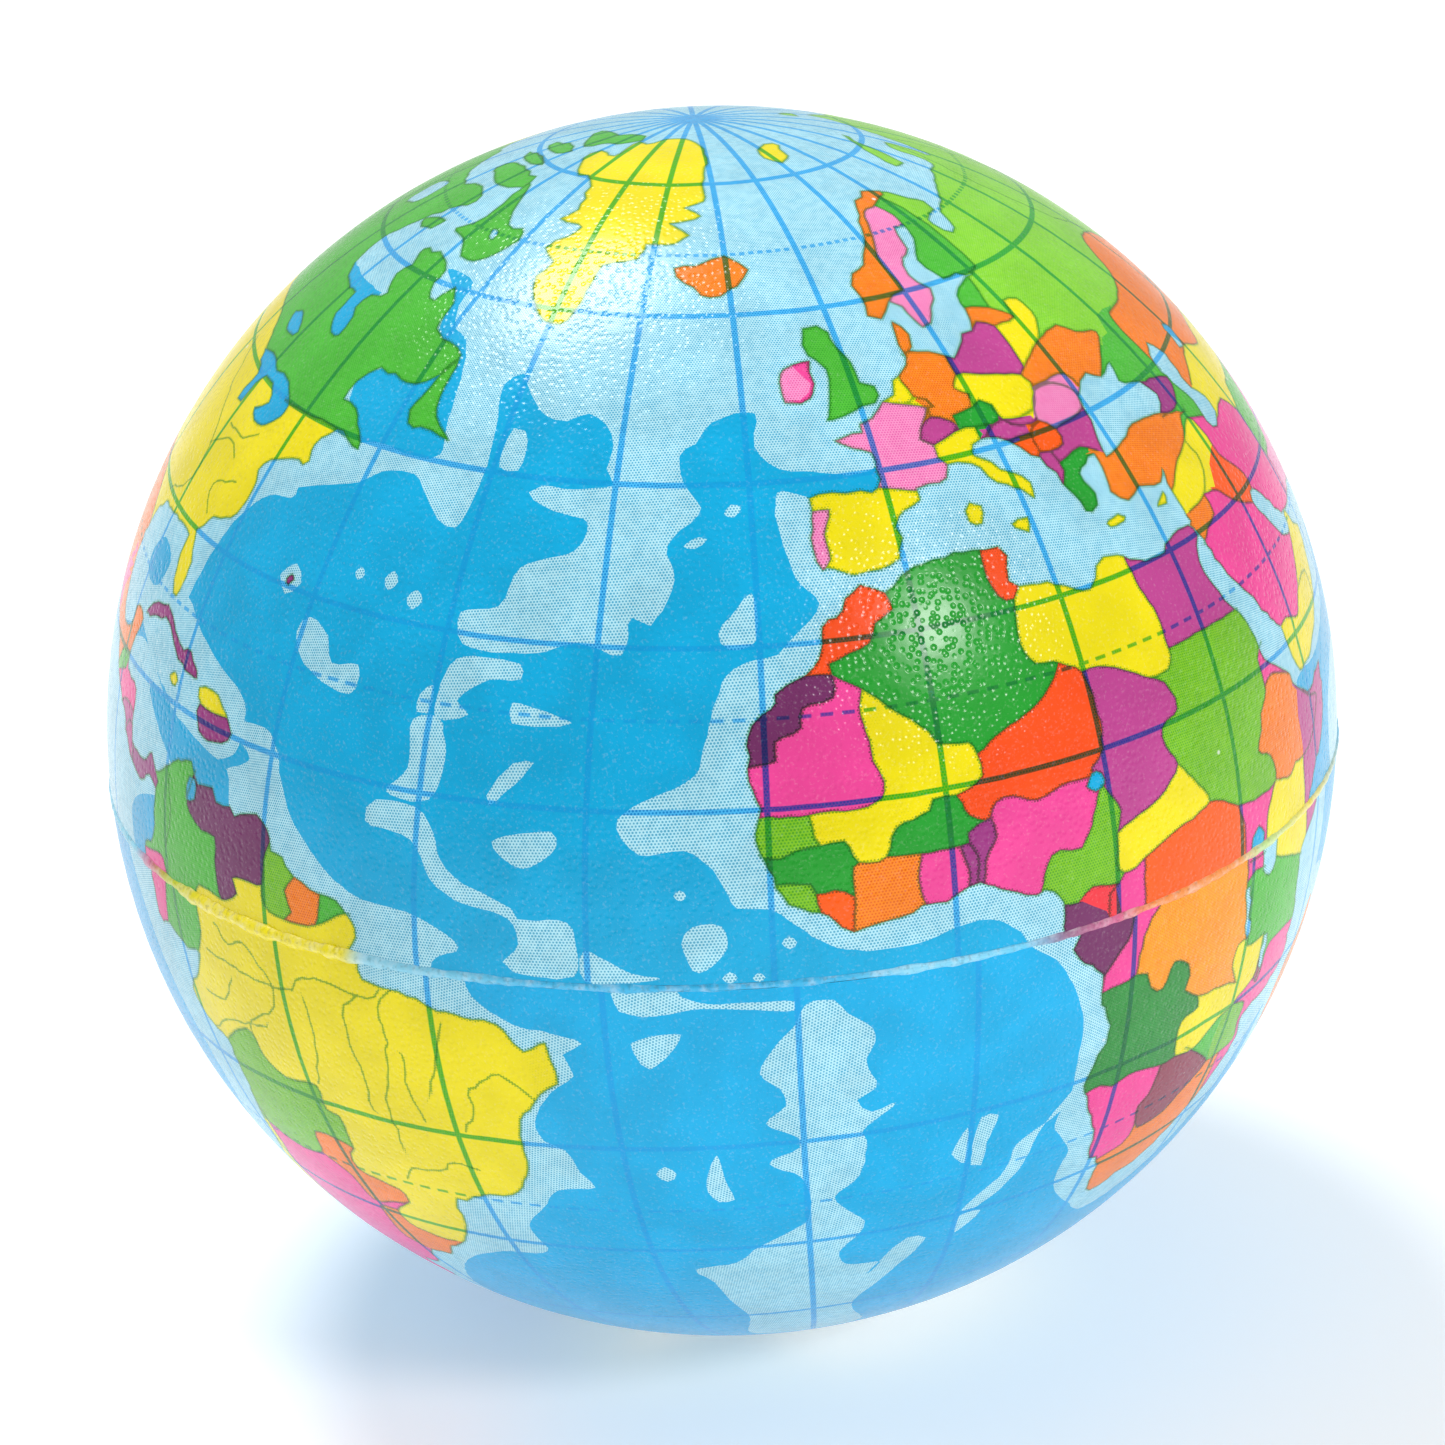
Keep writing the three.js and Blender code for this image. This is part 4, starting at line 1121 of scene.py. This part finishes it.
def graticule(s):
    """Where the printed meridians and parallels lie: 1 on a line. The tropic and polar circle are dashed."""
    unit = s.node("ShaderNodeVectorMath", s.attribute("globe")["Vector"], operation="NORMALIZE")
    x, y, z = s.split(unit.outputs[0])
    degrees = 180 / math.pi
    lat = s.times(s.math("ARCSINE", z), degrees)
    lon = s.plus(s.times(s.math("ARCTAN2", x, s.times(y, -1.0)), degrees), FRONT_MERIDIAN)
    off_axis = s.math("SQRT", s.math("MAXIMUM", s.minus(1.0, s.times(z, z)), 1e-4))
    from_meridian = s.times(s.size(s.wrap(lon, GRATICULE_EVERY / 2)), off_axis)
    from_equator = s.size(lat)
    held_off = s.ramp(from_equator, *NO_EQUATOR, NO_EQUATOR[1], 0.0)
    from_parallel = s.plus(s.size(s.wrap(lat, GRATICULE_EVERY / 2)), held_off)
    solid = s.math("MINIMUM", from_meridian, from_parallel)
    line = s.inked(s.times(solid, MM_PER_DEGREE), GRATICULE_FADE)
    from_circle = s.math("MINIMUM", s.size(s.minus(from_equator, TROPIC)),
                         s.size(s.minus(from_equator, POLAR_CIRCLE)))
    dash = s.inked(s.size(s.wrap(lon, DASH_EVERY / 2)), DASH_FADE)
    dashed = s.times(s.inked(s.times(from_circle, MM_PER_DEGREE), CIRCLE_FADE), dash)
    return s.math("MAXIMUM", line, s.times(dashed, 0.9))


def printed_colour(s, mm, distance):
    """The ink on the film: the ground, its screen dots and the printed lines."""
    ground, dot = s.attribute("ground"), s.attribute("dot")

    # the printing screen, its dots a little uneven
    dot_size = s.ramp(s.noise(mm, 2.3, 2.0), 0.3, 0.7, 0.25, 0.34)
    spot = s.ramp(s.minus(distance, dot_size), -0.10, 0.12, 1.0, 0.0)
    paint = s.mix(s.times(spot, dot["Alpha"]), ground["Color"], dot["Color"])

    # ink that took unevenly: fine pale specks and broad faint clouds
    specks = s.ramp(s.noise(mm, 7.0, 2.0), 0.55, 0.78)
    paint = s.mix(s.times(specks, 0.08), paint, SPECK_INK)
    paint = s.scaled(paint, s.ramp(s.noise(mm, 0.35, 3.0), 0.3, 0.7, 0.93, 1.05))

    # the blue graticule overprints everything, but hardly shows on the deep sea
    over = s.mix(ground["Alpha"], LINE_OVER_SEA, LINE_OVER_REST)
    line = s.times(graticule(s), s.ramp(distance, 0.2, 0.5, 1.0, 0.86))
    paint = s.mix(line, paint, s.mix(1.0, paint, over, "MULTIPLY"))

    # coasts and borders are a dark dotted line, rivers a thinner one
    coast = s.plus(s.attribute("coast_mm")["Fac"], s.ramp(distance, 0.1, 0.55, -0.05, 0.06))
    coast_line = s.times(s.inked(coast, COAST_FADE), 0.9)
    paint = s.mix(coast_line, paint, s.mix(1.0, paint, COAST_INK, "MULTIPLY"))
    river = s.plus(s.attribute("river_mm")["Fac"], s.ramp(distance, 0.1, 0.55, -0.02, 0.05))
    river_line = s.times(s.inked(river, RIVER_FADE), 0.85)
    paint = s.mix(river_line, paint, s.mix(1.0, paint, RIVER_INK, "MULTIPLY"))

    # dust and tiny pale spots of bare film, partly painted highlights that stand in for glints off the
    # film's pits
    bare_and_glint_cells = s.cells(mm, 0.35)
    bare_and_glint = s.times(s.ramp(bare_and_glint_cells["Distance"], 0.02, 0.05, 1.0, 0.0), s.ramp(bare_and_glint_cells["Color"], 0.62, 0.66))
    return s.mix(s.times(bare_and_glint, 0.7), paint, BARE_FILM_AND_GLINT)


def film_material(half):
    """Printed film with a pebbled gloss: round pits over a faint ripple."""
    s = Shader(half.name + "_print")
    mm = s.millimetres()
    pits = s.ramp(s.cells(mm, 3.1, 0.8)["Distance"], 0.12, 0.55)
    height = s.plus(pits, s.times(s.noise(mm, 1.1, 2.0), 0.5))
    s.set(Base_Color=printed_colour(s, mm, screen_dots(s, half.screen_angle)),
          Normal=s.bump(height, 1.0, 0.018 * MM), Roughness=half.gloss, IOR=1.5, Specular_IOR_Level=0.27)
    return s.material


def flash_material():
    """Trimmed moulding flash: bruised film, stained by the print beside it."""
    s = Shader("moulding_flash")
    mm = s.millimetres()
    bruise = s.ramp(s.noise(mm, 1.6, 4.0, 0.65), 0.42, 0.68)
    paint = s.mix(s.times(bruise, 0.25), s.attribute("tint")["Color"], BRUISED_FILM)
    grime = s.ramp(s.noise(mm, 5.0, 3.0), 0.3, 0.5, 0.75, 1.0)
    s.set(Base_Color=s.scaled(paint, grime), Normal=s.bump(s.noise(mm, 9.0, 3.0), 0.8, 0.04 * MM),
          Roughness=0.32)
    return s.material


def foam_material():
    """Cream polyurethane foam with open cells, their pits painted darker as shade."""
    s = Shader("foam")
    depth = s.cells(s.millimetres(), 1.5)["Distance"]
    # the cells' pits are painted darker as shade
    s.set(Base_Color=s.mix(s.ramp(depth, 0.1, 0.5), FOAM_PORE_SHADE, FOAM_WALL),
          Normal=s.bump(depth, 1.0, 0.2 * MM), Roughness=0.95)
    return s.material


def floor_material():
    s = Shader("studio_paper")
    where = s.node("ShaderNodeTexCoord").outputs["Object"]
    s.set(Base_Color=s.mix(s.noise(where, 9.0, 3.0), PAPER_DARK, PAPER_PALE), Roughness=0.9,
          Emission_Color=WHITE, Emission_Strength=0.28)
    return s.material


# ---- The seam's flash and the foam ----

# Along the seam, by longitude: the flash's height above and below it and how far it stands out, in mm,
# and its tint
FLASH = [
    (-100, 0.26, 0.36, 0.08, "#7cc6e2"),
    (-84, 0.26, 0.36, 0.09, "#86cfe6"),
    (-80, 0.28, 0.36, 0.12, "#c8487c"),
    (-76, 0.28, 0.38, 0.14, "#c0cc20"),
    (-70, 0.30, 0.50, 0.22, "#f0e000"),
    (-60, 0.28, 0.50, 0.26, "#f2e200"),
    (-52.5, 0.28, 0.46, 0.24, "#efe010"),
    (-50.5, 0.26, 0.36, 0.15, "#8ccfe4"),
    (-42, 0.24, 0.32, 0.10, "#70c6e4"),
    (-35, 0.22, 0.28, 0.08, "#3cb6e4"),
    (-20, 0.20, 0.26, 0.06, "#20acde"),
    (-10, 0.20, 0.26, 0.06, "#2cb0e0"),
    (-5, 0.20, 0.28, 0.09, "#84d2ee"),
    (5, 0.20, 0.27, 0.08, "#60c6ea"),
    (9, 0.24, 0.34, 0.08, "#8c5c80"),
    (14, 0.24, 0.34, 0.08, "#d05a8c"),
    (18, 0.24, 0.34, 0.08, "#f08a3a"),
    (29, 0.24, 0.34, 0.09, "#f29440"),
    (33, 0.24, 0.34, 0.09, "#b8dc90"),
    (43, 0.24, 0.34, 0.10, "#f0dc50"),
    (60, 0.26, 0.36, 0.11, "#6cc4e6"),
    (97, 0.26, 0.38, 0.13, "#7cc6e2"),
    (103, 0.28, 0.40, 0.14, "#c8dc50"),
    (118, 0.28, 0.40, 0.14, "#f09a40"),
    (124, 0.26, 0.38, 0.12, "#6cc4e6"),
    (190, 0.28, 0.42, 0.16, "#98d8ec"),
]
FLASH_START = -100  # the longitude where the ring of flash starts
SEAM_STEPS = 1080
PROFILE_STEPS = 10
LEAST_BELOW, LEAST_ABOVE = 0.25, 0.19  # mm; the flash always covers the rims of both films
FLASH_SUNK = 0.12  # mm that its edges lie under the film's surface
FLASH_DEPTH = 0.7  # mm from the ball's surface in to the back of the flash
FOAM_UNDER = 0.75  # mm from the ball's surface in to the foam
FOAM_LUMP = 0.08  # mm
FOAM_RINGS, FOAM_AROUND = 60, 120


def lumps(angle, height, size):
    """Deterministic unevenness along the seam, from -1 to 1."""
    return noise.noise(Vector((math.cos(angle) * size, math.sin(angle) * size, height)))


def flash_profile(angle, above, below, proud):
    """The flash's section at one place along the seam: distances from the axis and heights, in mm."""
    swell = 1 + 0.35 * lumps(angle, 0.0, 16) + 0.35 * lumps(angle, 3.0, 48)
    slip = 0.04 * lumps(angle, 7.0, 10)
    low, high = max(below * swell, LEAST_BELOW), max(above * swell, LEAST_ABOVE)
    profile = []
    for j in range(PROFILE_STEPS + 1):
        t = j / PROFILE_STEPS
        arch = math.sin(math.pi * t) ** 0.6
        rag = 1 + 0.25 * lumps(angle, 11.0 + t * 2, 90)
        lean = 0.75 + 0.5 * t  # the north edge overhangs
        z = slip - low + t * (low + high)
        out = (FLASH_SUNK + proud * swell * rag * lean) * arch - FLASH_SUNK
        profile.append((math.sqrt(RADIUS_MM**2 - z * z) + out, z))
    profile.append((RADIUS_MM - FLASH_DEPTH, slip))
    return profile


def build_flash():
    """The trimmed ridge where the mould's halves met, swept round the ball."""
    table = np.array([row[:4] for row in FLASH], float)
    colours = np.array([linear(row[4]) for row in FLASH])
    lons = np.arange(SEAM_STEPS) * 360 / SEAM_STEPS + FLASH_START
    sizes = [np.interp(lons, table[:, 0], table[:, k], period=360) for k in (1, 2, 3)]
    tint = np.stack([np.interp(lons, table[:, 0], colours[:, k], period=360) for k in range(3)], 1)
    verts, rest, tints = [], [], []
    for i, lon in enumerate(lons):
        angle = math.radians(lon - FRONT_MERIDIAN)
        x, y = math.sin(angle), -math.cos(angle)
        for r, z in flash_profile(angle, *(size[i] for size in sizes)):
            verts.append((r * x * MM, r * y * MM, z * MM))
            rest.append((x, y, z / RADIUS_MM))
            tints.append([*tint[i], 1])
    row = PROFILE_STEPS + 2
    faces = []
    for i in range(SEAM_STEPS):
        j = (i + 1) % SEAM_STEPS
        for k in range(row):
            n = (k + 1) % row
            faces.append((i * row + k, j * row + k, j * row + n, i * row + n))
    mesh = bpy.data.meshes.new("seam_flash")
    mesh.from_pydata(verts, [], faces)
    mesh.update()
    put(mesh, "rest", "FLOAT_VECTOR", "POINT", np.array(rest))
    put(mesh, "tint", "FLOAT_COLOR", "POINT", np.array(tints))
    mesh.shade_smooth()
    return linked(mesh)


def build_foam():
    """The foam ball, a little under the films, its skin slightly uneven."""
    pole = (RADIUS_MM - FOAM_UNDER) * MM
    verts, rest = [(0, 0, -pole)], [(0, 0, -1)]
    for i in range(1, FOAM_RINGS):
        lat = -math.pi / 2 + math.pi * i / FOAM_RINGS
        for j in range(FOAM_AROUND):
            lon = 2 * math.pi * j / FOAM_AROUND
            d = Vector((math.cos(lat) * math.cos(lon), math.cos(lat) * math.sin(lon), math.sin(lat)))
            r = RADIUS_MM - FOAM_UNDER + FOAM_LUMP * noise.noise(d * 9)
            verts.append(tuple(d * r * MM))
            rest.append(tuple(d))
    verts.append((0, 0, pole))
    rest.append((0, 0, 1))
    beside_it = [(j + 1) % FOAM_AROUND for j in range(FOAM_AROUND)]
    faces = [(0, 1 + n, 1 + j) for j, n in enumerate(beside_it)]
    for i in range(FOAM_RINGS - 2):
        low = 1 + i * FOAM_AROUND
        high = low + FOAM_AROUND
        faces += [(low + j, low + n, high + n, high + j) for j, n in enumerate(beside_it)]
    faces += [(high + FOAM_AROUND, high + j, high + n) for j, n in enumerate(beside_it)]
    mesh = bpy.data.meshes.new("foam_ball")
    mesh.from_pydata(verts, [], faces)
    mesh.update()
    put(mesh, "rest", "FLOAT_VECTOR", "POINT", np.array(rest))
    mesh.shade_smooth()
    return linked(mesh)


# ---- The studio ----

CAMERA_DISTANCE = 5.5 * RADIUS
CAMERA_ELEVATION = math.radians(21.45)
CAMERA_ROLL = math.radians(2.74)  # the ball's axis leans this far to the left
LENS = 82.9  # mm
SENSOR = 36.0  # mm
LENS_SHIFT = (0.00035, -0.0014)  # in widths of the frame
# Each lamp: where its highlight shows on the ball's face, its distance and size in metres, and its power
LAMPS = {
    "soft_box": dict(across=-0.20, upward=0.61, distance=0.6, size=0.24, power=2.7),
    "small_lamp": dict(across=0.29, upward=0.13, distance=0.5, size=0.098, power=1.0),
}
SKY_STRENGTH = 0.5
FLOOR_REACH = 2.5
FLOOR_SIDES = 96
FLOOR_DROP = 0.0002  # how far the floor lies under the ball


def build_camera():
    """The photo's view of the ball. Returns the directions to its right, up and back."""
    back = Vector((0, -math.cos(CAMERA_ELEVATION), math.sin(CAMERA_ELEVATION)))
    right = Vector((1, 0, 0))
    up = back.cross(right)
    c, n = math.cos(CAMERA_ROLL), math.sin(CAMERA_ROLL)
    right, up = right * c - up * n, right * n + up * c
    camera = bpy.data.cameras.new("camera")
    camera.lens, camera.sensor_width = LENS, SENSOR
    camera.shift_x, camera.shift_y = LENS_SHIFT
    camera.clip_start = MM
    obj = linked(camera)
    turn = Matrix((right, up, back)).transposed().to_4x4()
    obj.matrix_world = Matrix.Translation(back * CAMERA_DISTANCE) @ turn
    bpy.context.scene.camera = obj
    return right, up, back


def build_lamp(name, axes, across, upward, distance, size, power):
    """A round lamp whose highlight shows that far across and up the ball's face, in radii."""
    light = bpy.data.lights.new(name, "AREA")
    light.shape, light.size, light.energy = "DISK", size, power
    right, up, back = axes
    toward = math.sqrt(max(0.0, 1 - across**2 - upward**2))
    normal = right * across + up * upward + back * toward
    sight = (back * CAMERA_DISTANCE - normal * RADIUS).normalized()
    ray = (2 * normal.dot(sight) * normal - sight).normalized()
    obj = linked(light)
    obj.location = normal * RADIUS + ray * distance
    obj.rotation_euler = (-obj.location).to_track_quat("-Z", "Y").to_euler()


def build_studio():
    axes = build_camera()
    for name, settings in LAMPS.items():
        build_lamp(name, axes, **settings)
    world = bpy.data.worlds.new("studio")
    world.use_nodes = True
    sky = world.node_tree.nodes["Background"]
    sky.inputs["Color"].default_value = WHITE
    sky.inputs["Strength"].default_value = SKY_STRENGTH
    bpy.context.scene.world = world
    turns = [2 * math.pi * i / FLOOR_SIDES for i in range(FLOOR_SIDES)]
    mesh = bpy.data.meshes.new("floor")
    ring = [(FLOOR_REACH * math.cos(a), FLOOR_REACH * math.sin(a), 0) for a in turns]
    mesh.from_pydata(ring, [], [tuple(range(FLOOR_SIDES))])
    floor = linked(mesh)
    floor.location.z = CAD_BOX[0][2] - FLOOR_DROP
    floor.data.materials.append(floor_material())


# ---- Assembly ----

def fitted(obj, material, node, body):
    """A piece rides its body and stands for its CAD node."""
    obj.data.materials.append(material)
    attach(obj, body)
    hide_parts(node)
    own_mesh(obj)


def main():
    north, south = build_film(NORTH), build_film(SOUTH)
    flash, foam = build_flash(), build_foam()
    fitted(north, film_material(NORTH), "north_skin", "upper_half")
    fitted(south, film_material(SOUTH), "south_skin", "lower_half")
    fitted(flash, flash_material(), "seam_bead", "lower_half")
    fitted(foam, foam_material(), "foam_core", "lower_half")
    build_studio()


main()
